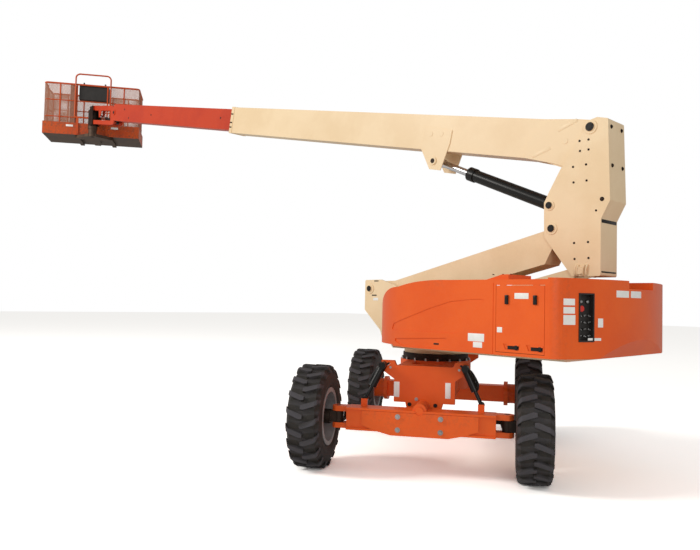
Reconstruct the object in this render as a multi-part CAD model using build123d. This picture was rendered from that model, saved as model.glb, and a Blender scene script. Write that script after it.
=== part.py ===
from build123d import *
from math import atan2, cos, degrees, hypot, radians, sin, sqrt
import os

# Articulating aerial work platform: yawed four-wheel chassis, slewing turntable with two
# risers and an upright, telescoping main boom, short parallelogram jib and a work platform.
# Millimetres, +Z up. The boom points along -X, the ground is z = 0. Everything is drawn round
# the slewing centre and moved at the end, so that the origin lies under the middle of the box.

# Clearances
running_gap = 0.3            # between faces of different bodies, and pins in bores
side_gap = 6.0               # beside plates that swing past each other
door_gap = 4.0               # round a door in its opening

# Chassis, drawn along its own Y, then yawed under the turntable
chassis_yaw = 32.5
wheelbase = 2450.0
overall_width = 2410.0
tyre_radius = 498.0
tyre_width = 329.0
lug_count = 18
lug_height = 30.0
bead_radius = 255.0
rim_radius = bead_radius - running_gap
rim_flange_radius = 278.0
rim_wall = 18.0
rim_hub_face = 30.0          # outside the wheel's middle
hub_radius = 95.0
frame_half_length = 1000.0
frame_half_width = 300.0
frame_bottom = 640.0
frame_top = 1000.0
ear_half_width = 430.0
ear_bottom = 955.0
ear_depth = 60.0
ear_slot = (372.0, 1003.0, 62.0, 20.0)     # out, up, length, width
pivot_pin_z = 612.0
pivot_pin_radius = 38.0
pivot_boss_radius = 66.0
kingpin_x = 800.0
kingpin_radius = 26.0
axle_cut = 672.0             # where the steering arms swing into the beam

# Slewing bearing and turntable
bearing_radius = 350.0
bearing_mid_z = 1075.0
deck_bottom = 1150.0
deck_top = 1190.0
deck_front = 300.0           # ahead of the slewing centre
deck_half_width = 750.0
hood_half_width = 1066.0
hood_inner = 400.0
hood_wall = 12.0
hood_top = 1838.0
hood_front = 250.0
hood_rear = 1995.0
nose_plan_radius = 640.0
side_plate_y = 300.0
side_plate_thickness = 22.0
tail_radius = 2320.0
tail_top = 1850.0
tail_slot_half = 250.0
tail_slot_bottom = 1300.0
tail_slot_rear = 2170.0
tail_notch_bottom = 1780.0
panel_turn = 19.65           # the ground controls sit this far round the tail's arc
panel_half_width = 82.0
panel_bottom = 1330.0
panel_top = 1730.0
panel_depth = 60.0
panel_frame = 12.0
panel_plate = 20.0
# Rows of the ground controls: height above the recess, how many, radius, how far proud
panel_rows = ((48.0, 3, 7.0, 16.0), (104.0, 3, 7.0, 16.0), (160.0, 3, 7.0, 16.0), (216.0, 3, 7.0, 16.0),
              (330.0, 2, 13.0, 10.0))
panel_stop = (-48.0, 272.0, 22.0, 24.0)    # across, height, radius, proud
door_front = 1500.0
door_top = 1790.0
door_bottom = 1215.0
relief_depth = 6.0
# Pressed relief of the hood's side, as (behind the slewing centre, height)
relief_outline = [(235, 1352), (268, 1412), (566, 1505), (775, 1576), (1008, 1641), (1230, 1664), (1392, 1668),
                  (1254, 1516), (1081, 1352)]
pocket_outline = [(235, 1262), (975, 1306), (960, 1240), (880, 1204), (420, 1204)]
pocket_depth = 9.0
seam_x = 1475.0
roof_lip = (1330.0, 1585.0, 46.0)      # front, rear, height
handle_fronts = (1578.0, 1801.0)       # scoop handles of the door
handle_length = 157.0
handle_bottom = 1238.0
handle_height = 52.0
handle_depth = 8.0
latch_fronts = (1598.0, 1870.0)
latch_size = (30.0, 74.0, 14.0)        # along, up, proud

# Tower: distances behind (-) or ahead (+) of the slewing centre, and heights
foot_pin = (-1760.0, 1300.0)
knuckle_low_pin = (581.0, 1374.0)
knuckle_top_pin = (873.0, 1782.0)
upright_riser_pin = (-1514.0, 2360.0)
lower_riser_half_width = 100.0
lower_riser_depth = 150.0
upper_riser_half_width = 140.0
upper_riser_depth = 310.0
riser_wall = 10.0
link_inner = 112.0
link_thickness = 20.0
link_depth = 90.0
knuckle_inner = 160.0
knuckle_plate = 20.0
knuckle_web = 6.0            # the foot plate's rear edge behind the low pin
tower_pin_radius = 36.0
tower_boss_radius = 62.0

# Upright
upright_half_width = 165.0
upright_plate = 18.0
main_pin = (-1899.0, 3276.0)
main_pin_radius = 42.0
lift_base_pin = (-1490.0, 2584.0)

# Main boom, along its own line from the main pin
boom_angle = 12.0
base_length = 6001.0
base_half_width = 131.0
base_above = 61.0
base_below = 330.0
base_wall = 8.0
base_tail = 100.0
doubler_thickness = 10.0
doubler_front = 655.0
collar_length = 70.0
collar_proud = 6.0
fly_half_width = 110.0
fly_above = 35.0
fly_below = 287.0
fly_wall = 7.0
fly_end = 10300.0
fly_inside = 1400.0
fork_length = 285.0
level_pin_back = 80.0        # from the fly's end
level_pin_below = 130.0
lift_pin_along = 1812.0
lift_pin_below = 450.0
lift_bracket_front = 2020.0
lift_bracket_rear = 1625.0

# Cylinders
lift_barrel_radius = 66.0
lift_barrel_length = 1150.0
lift_rod_radius = 38.0
lift_eye_radius = 48.0
lift_pin_radius = 30.0

# Jib, from the level head's pins to the platform carrier's pins
jib_angle = 11.0
jib_length = 950.0
jib_pin_reach = 160.0        # ahead of the level pin
jib_top_rise = 130.0
jib_low_drop = 170.0
jib_arm_half_width = 50.0
jib_arm_depth = 100.0
jib_bar_inner = 56.0
jib_bar_thickness = 18.0
jib_bar_depth = 84.0
head_inner = 80.0
head_plate = 14.0
jib_pin_radius = 22.0
jib_boss_radius = 40.0
jib_cylinder_radius = 28.0
jib_rod_radius = 20.0
jib_eye_along = 640.0
jib_eye_below = 165.0
jib_bracket_inner = 38.0
jib_base_back = 75.0         # the cylinder's base pin behind the low pin
jib_barrel_length = 530.0
jib_rod_tail = 285.0         # the rod's inner end, from the base pin
jib_stub_inner = 50.0        # the low pins leave the middle free for the cylinder

# Platform
rotator_reach = 150.0        # rotator's axis ahead of the carrier's pins
rotator_radius = 95.0
platform_back = 160.0        # near face ahead of the rotator's axis
platform_depth = 910.0
platform_half_length = 985.0
platform_height = 1114.0
platform_turn = 32.1         # about the rotator, the far-side end towards the machine
platform_shift = -55.0       # of its middle from the rotator, along its length
hoop_radius = 16.0
hoop_sides = (-340.0, 375.0)
hoop_bottom = 5450.0
hoop_top = 6376.0
hoop_bend = 90.0
cabinet = (-450.0, -352.0, 6165.0, 150.0)   # near, far, top, depth
console_sides = (-275.0, 330.0)
platform_floor_z = 5061.0
toe_thickness = 6.0
rail_radius = 19.0
mid_rail_radius = 11.0
mid_rail_shares = (0.32, 0.66)
post_half = 13.0              # square posts
post_pitch = 620.0
rail_inset = toe_thickness + rail_radius + running_gap
gate_width = 560.0
gate_gap = 8.0
gate_half = 13.0
toe_height = 150.0
floor_thickness = 40.0
deck_plate = 4.0             # tread plate raised on the tray, clear of the posts and the cabinet
deck_plate_inset = 46.0
deck_plate_near = 210.0
hinge_radius = 20.0          # gate's hinge collars on its post
hinge_height = 50.0
hinge_places = (120.0, 160.0)   # above the gate's foot, below its top


def plate(points, y0, y1, radius=0.0):
    """An outline of (x, z) points, made into a plate from y0 to y1."""
    if radius:
        wire = FilletPolyline(*points, radius=radius, close=True)
    else:
        wire = Polyline(*points, close=True)
    face = Plane.XZ.offset(-y0) * make_face(wire)
    return extrude(face, amount=-(y1 - y0))


def slab(points, z0, z1, radius=0.0):
    """An outline of (x, y) points, made into a slab from z0 to z1."""
    if radius:
        wire = FilletPolyline(*points, radius=radius, close=True)
    else:
        wire = Polyline(*points, close=True)
    return extrude(Plane.XY.offset(z0) * make_face(wire), amount=z1 - z0)


def block(x0, x1, y0, y1, z0, z1):
    return Pos((x0 + x1) / 2, (y0 + y1) / 2, (z0 + z1) / 2) * Box(abs(x1 - x0), abs(y1 - y0), abs(z1 - z0))


def pin_y(x, z, radius, y0, y1):
    return Pos(x, (y0 + y1) / 2, z) * Rot(90, 0, 0) * Cylinder(radius, abs(y1 - y0))


def pin_x(y, z, radius, x0, x1):
    return Pos((x0 + x1) / 2, y, z) * Rot(0, 90, 0) * Cylinder(radius, abs(x1 - x0))


def pin_z(x, y, radius, z0, z1):
    return Pos(x, y, (z0 + z1) / 2) * Cylinder(radius, abs(z1 - z0))


def rod(p, q, radius):
    """A round bar between two points."""
    p, q = Vector(*p), Vector(*q)
    line = q - p
    return Plane(origin=p, z_dir=line) * Pos(0, 0, line.length / 2) * Cylinder(radius, line.length)


def turned(angle, point):
    """The frame at a tower point whose -X end is raised by an angle."""
    return Pos(-point[0], 0, point[1]) * Rot(0, angle, 0)


def slope(p, q):
    return degrees(atan2(q[1] - p[1], q[0] - p[0]))


def along(angle, point, forward, above):
    """The (ahead, height) place that lies forward and above a point, on a raised line."""
    a = radians(angle)
    return (point[0] + forward * cos(a) - above * sin(a), point[1] + forward * sin(a) + above * cos(a))


# Places worked out from the sizes above
lower_length = hypot(knuckle_low_pin[0] - foot_pin[0], knuckle_low_pin[1] - foot_pin[1])
lower_angle = slope(foot_pin, knuckle_low_pin)
upper_length = hypot(upright_riser_pin[0] - knuckle_top_pin[0], upright_riser_pin[1] - knuckle_top_pin[1])
upper_angle = degrees(atan2(upright_riser_pin[1] - knuckle_top_pin[1], knuckle_top_pin[0] - upright_riser_pin[0]))
link_offset = (knuckle_low_pin[0] - knuckle_top_pin[0], knuckle_low_pin[1] - knuckle_top_pin[1])
link_top_pin = (upright_riser_pin[0] + link_offset[0], upright_riser_pin[1] + link_offset[1])
level_pin = along(boom_angle, main_pin, fly_end - level_pin_back, -level_pin_below)
jib_top_pin = (level_pin[0] + jib_pin_reach, level_pin[1] + jib_top_rise)
jib_low_pin = (level_pin[0] + jib_pin_reach, level_pin[1] - jib_low_drop)
carrier_top_pin = along(jib_angle, jib_top_pin, jib_length, 0)
carrier_low_pin = along(jib_angle, jib_low_pin, jib_length, 0)
lift_rod_pin = along(boom_angle, main_pin, lift_pin_along, -lift_pin_below)
lift_angle = slope(lift_base_pin, lift_rod_pin)
lift_length = hypot(lift_rod_pin[0] - lift_base_pin[0], lift_rod_pin[1] - lift_base_pin[1])
jib_base_pin = (jib_low_pin[0] - jib_base_back, jib_low_pin[1])
jib_eye_pin = along(jib_angle, jib_top_pin, jib_eye_along, -jib_eye_below)
jib_cylinder_angle = slope(jib_base_pin, jib_eye_pin)
jib_cylinder_length = hypot(jib_eye_pin[0] - jib_base_pin[0], jib_eye_pin[1] - jib_base_pin[1])
rotator_x = carrier_top_pin[0] + rotator_reach
platform_near = rotator_x + platform_back
platform_far = platform_near + platform_depth
gate_post_x = -platform_far + rail_inset + gate_width
wheel_x = (overall_width - tyre_width) / 2
hub_seat_x = wheel_x + rim_hub_face - running_gap
axle_y = wheelbase / 2
turn = radians(platform_turn)
platform_end = (rotator_x + (platform_far - rotator_x) * cos(turn)
                + (platform_half_length - platform_shift) * sin(turn))
origin_x = (tail_radius - platform_end) / 2


# Wheels, drawn with the axle along X and the outside at +X


def tyre():
    half = tyre_width / 2
    carcass_radius = tyre_radius - lug_height
    profile = [(-half + 22, bead_radius), (-half + 22, rim_flange_radius + 2),
               (-half + 4, rim_flange_radius + 42), (-half, bead_radius + 110),
               (-half + 10, carcass_radius - 45), (-half + 42, carcass_radius),
               (half - 42, carcass_radius), (half - 10, carcass_radius - 45),
               (half, bead_radius + 110), (half - 4, rim_flange_radius + 42),
               (half - 22, rim_flange_radius + 2), (half - 22, bead_radius)]
    face = make_face(Polyline(*profile, close=True))
    body = revolve(face, axis=Axis.X, revolution_arc=360)
    # One bar runs from the shoulder at a slant, then straight to just past the middle
    bar = [(half - 4, -66), (half - 52, -34), (-12, 8), (-12, 44), (18, 48), (half - 44, 12), (half - 4, -24)]
    lug = extrude(Plane.XY.offset(carcass_radius - 42) * make_face(Polyline(*bar, close=True)),
                  amount=lug_height + 40)
    lugs = []
    for i in range(lug_count):
        lugs.append(Rot(360 * i / lug_count, 0, 0) * lug)
        lugs.append(Rot(360 * (i + 0.5) / lug_count, 0, 0) * mirror(lug, about=Plane.YZ))
    envelope = revolve(make_face(Polyline((-half, 200), (-half, tyre_radius - 70), (-half + 24, tyre_radius - 12),
                                          (-half + 50, tyre_radius), (half - 50, tyre_radius),
                                          (half - 24, tyre_radius - 12), (half, tyre_radius - 70),
                                          (half, 200), close=True)), axis=Axis.X, revolution_arc=360)
    return body + [lug & envelope for lug in lugs]


def rim():
    half = tyre_width / 2
    profile = [(-half + 14, rim_flange_radius), (-half + 22 - running_gap, rim_flange_radius),
               (-half + 22 - running_gap, rim_radius), (half - 22 + running_gap, rim_radius),
               (half - 22 + running_gap, rim_flange_radius), (half - 14, rim_flange_radius),
               (half - 14, rim_radius - rim_wall), (45, rim_radius - rim_wall), (60, 150), (60, hub_radius),
               (half - 10, hub_radius), (half - 10, 60), (half + 6, 48), (half + 6, 0), (rim_hub_face, 0),
               (rim_hub_face, 160),
               (20, rim_radius - rim_wall), (-half + 14, rim_radius - rim_wall)]
    face = make_face(Polyline(*profile, close=True))
    return revolve(face, axis=Axis.X, revolution_arc=360)


def yawed(shape):
    return Rot(0, 0, chassis_yaw) * shape


# Chassis
def chassis_frame():
    outline = [(-frame_half_width, frame_bottom), (frame_half_width, frame_bottom),
               (frame_half_width, ear_bottom - 90), (ear_half_width, ear_bottom), (ear_half_width, frame_top + 45),
               (frame_half_width, frame_top + 45), (frame_half_width - 20, frame_top),
               (20 - frame_half_width, frame_top), (-frame_half_width, frame_top + 45),
               (-ear_half_width, frame_top + 45), (-ear_half_width, ear_bottom), (-frame_half_width, ear_bottom - 90)]
    ends = []
    for y in (-frame_half_length, frame_half_length - ear_depth):
        ends.append(plate(outline, y, y + ear_depth))
    rail = 110.0
    tub = block(-frame_half_width + 30, frame_half_width - 30, -frame_half_length + 1, frame_half_length - 1,
                frame_bottom + 10, frame_top)
    tub -= block(-frame_half_width + 30 + rail, frame_half_width - 30 - rail, -frame_half_length + 200,
                 -bearing_radius - 60, frame_bottom, frame_top + 1)
    tub -= block(-frame_half_width + 30 + rail, frame_half_width - 30 - rail, bearing_radius + 60,
                 frame_half_length - 200, frame_bottom, frame_top + 1)
    drum = pin_z(0, 0, bearing_radius + 40, frame_bottom + 60, frame_top)
    pivot = plate([(-170, pivot_pin_z - 30), (-110, pivot_pin_z - 62), (110, pivot_pin_z - 62),
                   (170, pivot_pin_z - 30), (200, frame_bottom + 60), (-200, frame_bottom + 60)],
                  -frame_half_length, -frame_half_length + ear_depth)
    out, up, slot_length, slot_width = ear_slot
    for side in (-1, 1):
        ends[0] -= (Pos(side * out, -frame_half_length, up) * Rot(0, side * 38, 0)
                    * Box(slot_length, 3 * ear_depth, slot_width))
    bore_pin = Pos(0, -frame_half_length - 160, pivot_pin_z) * Rot(90, 0, 0) * Cylinder(pivot_pin_radius, 380)
    return ends[0] + [ends[1], tub, drum, pivot, bore_pin]


def front_axle():
    """The oscillating steering axle: boxed beam, folded front plate, pivot boss and kingpin yokes."""
    y = -axle_y
    front = plate([(-545, 590), (545, 590), (545, 455), (420, 410), (270, 375), (-270, 375), (-420, 410),
                   (-545, 455)], y - 135, y - 115)
    beam = block(-700, 700, y - 110, y + 70, 420, 600)
    web = block(-500, 500, y - 116, y - 100, 440, 580)
    flanges = [block(-700, 700, y - 130, y + 90, 592, 612), block(-700, 700, y - 130, y + 90, 402, 422)]
    boss = Pos(0, y + 20, pivot_pin_z) * Rot(90, 0, 0) * Cylinder(pivot_boss_radius, 2 * 130)
    bore = Pos(0, y + 20, pivot_pin_z) * Rot(90, 0, 0) * Cylinder(pivot_pin_radius + running_gap, 400)
    shape = beam + [front, web, boss] + flanges
    shape -= bore
    for side in (-1, 1):
        for z0 in (402, 562):
            ear = block(side * 690, side * (kingpin_x + 20), y - 62, y + 62, z0, z0 + 50)
            ear += pin_z(side * kingpin_x, y, 62, z0, z0 + 50)
            ear -= pin_z(side * kingpin_x, y, kingpin_radius + running_gap, z0 - 1, z0 + 51)
            shape += ear
        shape -= block(side * axle_cut, side * (kingpin_x + 90), y - 80, y + 80, 452, 562)
        lug = block(side * 530, side * 590, y + 40, y + 66, 600, 680)
        shape += lug
    return shape


def lockout_cylinders():
    """Black barrels from the ears down to the axle, with their rods."""
    parts = []
    for side in (-1, 1):
        top = (side * 400, -frame_half_length - 65, 1000)
        low = (side * 560, -axle_y + 100, 668)
        mid = [top[i] + 0.62 * (low[i] - top[i]) for i in range(3)]
        parts.append(rod(top, mid, 38) + rod(mid, low, 18) + Pos(*low) * Rot(90, 0, 0) * Cylinder(30, 66)
                     + Pos(*top) * Rot(90, 0, 0) * Cylinder(34, 128))
    return parts


def rear_axle():
    y = axle_y
    beam = block(-760, 760, y - 90, y + 90, 400, 600)
    saddle = block(-frame_half_width, frame_half_width, y - 225, y + 90, 600, 700)
    flanges = [pin_x(y, tyre_radius, 150, side * 740, side * 790) for side in (-1, 1)]
    drives = [pin_x(y, tyre_radius, 120, side * 780, side * hub_seat_x) for side in (-1, 1)]
    return beam + [saddle] + flanges + drives


def steering_knuckle(side):
    """Hub carrier on its kingpin, with the steering arm behind it."""
    y = -axle_y
    post = pin_z(side * kingpin_x, y, 48, 452 + running_gap, 562 - running_gap)
    post += pin_z(side * kingpin_x, y, kingpin_radius, 402, 612)
    carrier = block(side * kingpin_x, side * (kingpin_x + 90), y - 45, y + 45, 456, 558)
    spindle = pin_x(y, tyre_radius, 70, side * (kingpin_x + 80), side * hub_seat_x)
    arm = slab([(side * kingpin_x, y - 30), (side * (kingpin_x + 40), y + 30), (side * (kingpin_x - 10), y + 215),
                (side * (kingpin_x - 60), y + 215), (side * (kingpin_x - 40), y)], 456, 476)
    return post + [carrier, spindle, arm]


def tie_rod():
    y = -axle_y + 190
    bar = pin_x(y, 504, 20, -kingpin_x + 60, kingpin_x - 60)
    ends = [pin_z(side * (kingpin_x - 35), y, 30, 476 + running_gap, 532) for side in (-1, 1)]
    return bar + ends


def steer_cylinder():
    y = -axle_y + 190
    barrel = pin_x(y, 504, 44, -230, 230) - pin_x(y, 504, 20 + running_gap, -300, 300)
    bracket = block(-150, 150, y - 120, y - 40, 470, 540) - block(-90, 90, y - 130, y - 60, 460, 550)
    return barrel + bracket


# Turntable
def arch(front, top, rear, inset=0.0):
    """Side profile of the hood's nose: steep front, long falling roof, flat bottom."""
    f, t = front - inset, top - inset
    line = Polyline((-(f - 70), deck_top + inset), (-f, deck_top + 90 + inset), (-f, deck_top + 150))
    nose = ThreePointArc((-f, deck_top + 150), (-(f - 200), t - 190), (-(f - 580), t - 62))
    roof = ThreePointArc((-(f - 580), t - 62), (-(f - 880), t - 12), (-(f - 1240), t))
    back = Polyline((-(f - 1240), t), (rear - inset, t), (rear - inset, deck_top + inset),
                    (-(f - 70), deck_top + inset))
    return make_face(line + nose + roof + back)


def hood_solid(inset=0.0):
    half = hood_half_width - inset
    inner = hood_inner - (1.0 if inset else 0.0)
    body = extrude(Plane.XZ.offset(-inner) * arch(hood_front, hood_top, hood_rear, inset), amount=-(half - inner))
    front = hood_front - inset
    corner = nose_plan_radius - inset
    plan = make_face(Polyline((-front, inner - 1), (-front, half - corner))
                     + EllipticalCenterArc((-front + 880 - inset, half - corner), 880 - inset, corner,
                                           start_angle=90, arc_size=90)
                     + Polyline((-front + 880 - inset, half), (hood_rear + 1, half), (hood_rear + 1, inner - 1),
                                (-front, inner - 1)))
    return body & extrude(Plane.XY.offset(1000) * plan, amount=1000)


def pressed(outline, depth):
    """What a pressing of that depth takes off the hood's skin within an outline."""
    skin = hood_solid() - hood_solid(depth)
    return skin & plate(outline, hood_inner + 200, hood_half_width + 1, radius=14)


def hood():
    """The left hood as a shell open to the tower and below, with its pressings and its door's opening."""
    shell = hood_solid() - hood_solid(hood_wall)
    shell -= pressed(relief_outline, relief_depth)
    shell -= pressed(pocket_outline, pocket_depth)
    shell -= block(seam_x - 4, seam_x + 4, hood_half_width - 4, hood_half_width + 1, deck_top - 1, hood_top - 30)
    lip_front, lip_rear, lip_height = roof_lip
    shell += plate([(lip_front, hood_top - 6), (lip_front + 190, hood_top + lip_height),
                    (lip_rear, hood_top + lip_height), (lip_rear, hood_top - 6)], 640, hood_half_width - 60)
    shell -= block(-hood_front - 100, hood_rear - hood_wall, hood_inner - 1, hood_half_width - 60,
                   deck_top - 5, deck_top + hood_wall + 1)
    shell -= block(door_front, hood_rear - 25, hood_half_width - 30, hood_half_width + 30, door_bottom, door_top)
    return shell


def hood_door():
    panel = block(door_front + door_gap, hood_rear - 25 - door_gap, hood_half_width - hood_wall, hood_half_width,
                  door_bottom + door_gap, door_top - door_gap)
    for x in (door_front + 40, door_front + 360):
        panel += block(x, x + 60, hood_half_width - hood_wall, hood_half_width, door_top - door_gap - 1,
                       door_top - running_gap)
    along_x, up, proud = latch_size
    for x in latch_fronts:
        latch = block(x, x + along_x, hood_half_width - 1, hood_half_width + proud, 1628, 1628 + up)
        panel += latch - Pos(x + along_x / 2, hood_half_width + proud, 1628) * Rot(45, 0, 0) * Box(60, 16, 16)
    for x in handle_fronts:
        z = handle_bottom
        scoop = plate([(x, z + handle_height), (x + handle_length, z + handle_height - 8),
                       (x + handle_length - 4, z), (x + 20, z + 4)], hood_half_width - handle_depth,
                      hood_half_width + 1)
        lip = block(x + 40, x + handle_length + 1, hood_half_width - handle_depth, hood_half_width + 4,
                    z + handle_height - 14, z + handle_height)
        panel -= scoop
        panel += lip
    return panel


def battery_pack():
    return block(640, 1900, 470, 960, deck_top, 1640)


def turntable_frame():
    deck = slab([(-deck_front, -420), (-deck_front, 420), (-deck_front + 330, deck_half_width),
                 (hood_rear, deck_half_width), (hood_rear, -deck_half_width),
                 (-deck_front + 330, -deck_half_width)], deck_bottom, deck_top)
    outline = [(-420, deck_top), (-455, deck_top + 90), (-440, 1400), (-330, 1560), (-120, 1660), (300, 1730),
               (hood_rear - 10, 1730), (hood_rear - 10, deck_top)]
    sides = [plate(outline, y, y + side_plate_thickness)
             for y in (side_plate_y, -side_plate_y - side_plate_thickness)]
    shape = deck + sides
    pin = pin_y(-foot_pin[0], foot_pin[1], tower_pin_radius, -side_plate_y - 1, side_plate_y + 1)
    bosses = [pin_y(-foot_pin[0], foot_pin[1], 70, s * (lower_riser_half_width + side_gap), s * (side_plate_y + 1))
              for s in (-1, 1)]
    ring = pin_z(0, 0, bearing_radius, bearing_mid_z + running_gap, deck_bottom + 1)
    return shape + [pin, ring] + bosses


def swing_bearing():
    ring = pin_z(0, 0, bearing_radius + 12, frame_top, bearing_mid_z)
    return Rot(0, 0, chassis_yaw) * ring


def counterweight():
    """Cast tail: an arc about the slewing centre, with a slot for the upright."""
    half = hood_half_width
    start = hood_rear + running_gap
    side_x = sqrt(tail_radius ** 2 - (half - 60) ** 2) - 40
    plan = make_face(Polyline((start, -half), (start, half), (side_x - 40, half))
                     + ThreePointArc((side_x - 40, half), (side_x + 4, half - 22), (side_x + 40, half - 60))
                     + ThreePointArc((side_x + 40, half - 60), (tail_radius, 0), (side_x + 40, -half + 60))
                     + ThreePointArc((side_x + 40, -half + 60), (side_x + 4, -half + 22), (side_x - 40, -half))
                     + Line((side_x - 40, -half), (start, -half)))
    body = extrude(Plane.XY.offset(deck_top) * plan, amount=tail_top - deck_top)
    rear_trim = plate([(start - 1, deck_top - 1), (start - 1, deck_top), (start + 80, deck_top),
                       (tail_radius - 90, deck_top), (tail_radius + 1, deck_top + 150), (tail_radius + 1, deck_top - 1)],
                      -half - 1, half + 1)
    body -= rear_trim
    body -= block(start - 1, tail_slot_rear, -tail_slot_half, tail_slot_half, tail_slot_bottom, tail_top + 1)
    body -= block(start - 1, tail_radius + 1, -tail_slot_half, tail_slot_half, tail_notch_bottom, tail_top + 1)
    recess = plate([(tail_radius - panel_depth, panel_bottom), (tail_radius - panel_depth, panel_top),
                    (tail_radius + 1, panel_top), (tail_radius + 1, panel_bottom)],
                   -panel_half_width, panel_half_width)
    return body - Rot(0, 0, -panel_turn) * recess


def ground_controls():
    """Switch plate in the tail's recess, inside a raised frame, with its rows of switches and the stop."""
    back = tail_radius - panel_depth
    face = back + panel_plate
    edge = tail_radius + panel_frame / 2
    half = panel_half_width - running_gap
    z0, z1 = panel_bottom + running_gap, panel_top - running_gap
    shape = block(back + running_gap, edge, -half, half, z0, z1)
    shape -= block(face, edge + 1, panel_frame - half, half - panel_frame, z0 + panel_frame, z1 - panel_frame)
    for height, count, radius, proud in panel_rows:
        pitch = (2 * half - 2 * panel_frame) / count
        for i in range(count):
            y = (i - (count - 1) / 2) * pitch
            shape += pin_x(y, panel_bottom + height, radius, face - 1, face + proud)
    y, height, radius, proud = panel_stop
    shape += pin_x(y + 8, panel_bottom + height, radius, face - 1, face + proud)
    return Rot(0, 0, -panel_turn) * shape


# Tower
def lower_riser():
    frame = turned(lower_angle, foot_pin)
    half = lower_riser_half_width
    deep = lower_riser_depth / 2
    shape = block(-lower_length, 0, -half, half, -deep, deep)
    shape -= block(-lower_length + 80, -80, -half + riser_wall, half - riser_wall, -deep + riser_wall,
                   deep - riser_wall)
    shape += pin_y(0, 0, deep, -half, half)
    shape += pin_y(-lower_length, 0, deep, -half, half)
    shape -= pin_y(0, 0, tower_pin_radius + running_gap, -half - 1, half + 1)
    shape -= pin_y(-lower_length, 0, tower_pin_radius + running_gap, -half - 1, half + 1)
    return frame * shape


def riser_knuckle():
    low, top = knuckle_low_pin, knuckle_top_pin
    outline = [(-(top[0] + 82), top[1] + 103), (-(top[0] - 180), top[1] + 107), (-(low[0] - 130), low[1] + 440),
               (-(low[0] - 130), low[1] - 218), (-(low[0] + 62), low[1] - 218), (-(low[0] + 114), low[1] - 81),
               (-(top[0] + 82), top[1] - 255)]
    shape = None
    for s in (-1, 1):
        y0, y1 = sorted((s * knuckle_inner, s * (knuckle_inner + knuckle_plate)))
        cheek = plate(outline, y0, y1, radius=18)
        cheek += pin_y(-low[0], low[1], tower_boss_radius, *sorted((s * knuckle_inner, s * (knuckle_inner + 28))))
        cheek += pin_y(-top[0], top[1], tower_boss_radius, *sorted((s * knuckle_inner, s * (knuckle_inner + 28))))
        shape = cheek if shape is None else shape + cheek
    for point in (low, top):
        shape += pin_y(-point[0], point[1], tower_pin_radius, -knuckle_inner - 40, knuckle_inner + 40)
    shape += block(-(top[0] + 82), -(top[0] + 62), -knuckle_inner - 1, knuckle_inner + 1, top[1] - 240, top[1] + 90)
    shape += block(-(low[0] + 60), -(low[0] - knuckle_web), -knuckle_inner - 1, knuckle_inner + 1, low[1] - 218,
                   low[1] - 198)
    return shape


def upper_riser():
    frame = Pos(-knuckle_top_pin[0], 0, knuckle_top_pin[1]) * Rot(0, -upper_angle, 0)
    half = upper_riser_half_width
    deep = upper_riser_depth
    length = upper_length
    outline = [(-52, 10), (-20, 45), (20, 45), (90, 4), (length - 90, 4), (length - 20, 45), (length + 20, 45),
               (length + 52, 10), (length + 40, -80), (length - 160, -deep), (60, -deep), (-30, -150)]
    shape = plate(outline, -half, half)
    hollow = [(120, -riser_wall), (length - 120, -riser_wall), (length - 220, -deep + riser_wall),
              (120, -deep + riser_wall)]
    shape -= plate(hollow, -half + riser_wall, half - riser_wall)
    for x in (0, length):
        shape -= pin_y(x, 0, tower_pin_radius + running_gap, -half - 1, half + 1)
    return frame * shape


def tower_link():
    """The lower bars of the upper parallelogram, beside the lower riser's end."""
    frame = Pos(-knuckle_low_pin[0], 0, knuckle_low_pin[1]) * Rot(0, -upper_angle, 0)
    deep = link_depth / 2
    shape = None
    for s in (-1, 1):
        y0, y1 = sorted((s * link_inner, s * (link_inner + link_thickness)))
        bar = block(0, upper_length, y0, y1, -deep, deep)
        for x in (0, upper_length):
            bar += pin_y(x, 0, tower_boss_radius - 6, y0, y1)
            bar -= pin_y(x, 0, tower_pin_radius + running_gap, y0 - 1, y1 + 1)
        shape = bar if shape is None else shape + bar
    for x in (0.3 * upper_length, 0.8 * upper_length):
        shape += pin_y(x, 0, 30, -link_inner - 1, link_inner + 1)
    return frame * shape


def upright():
    inner = upright_half_width - upright_plate
    outline = [(1962, 3358), (2066, 3330), (2090, 2582), (2005, 2417), (2005, 1900), (1726, 1900), (1435, 2283),
               (1431, 2613), (1484, 2715), (1597, 2914), (1836, 3249), (1880, 3340)]
    solid = plate(outline, -upright_half_width, upright_half_width, radius=14)
    hollow = [(1300, 1890), (1980, 1890), (1984, 2424), (2068, 2588), (2046, 3400), (1300, 3400)]
    shape = solid - plate(hollow, -inner, inner)
    pins = ((main_pin, main_pin_radius, 64), (lift_base_pin, 34, 50), (upright_riser_pin, tower_pin_radius, 58),
            (link_top_pin, tower_pin_radius, 0))
    for point, radius, boss in pins:
        shape += pin_y(-point[0], point[1], radius, -upright_half_width - 16, upright_half_width + 16)
        if boss:
            for s in (-1, 1):
                y0, y1 = sorted((s * inner, s * (upright_half_width + 8)))
                shape += pin_y(-point[0], point[1], boss, y0, y1)
    return shape


# Main boom, drawn pointing along -X from the main pin
def boom_box(rear, front, half, above, below, wall):
    shape = block(-front, -rear, -half, half, -below, above)
    return shape - block(-front - 1, -rear + 1, -half + wall, half - wall, -below + wall, above - wall)


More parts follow.
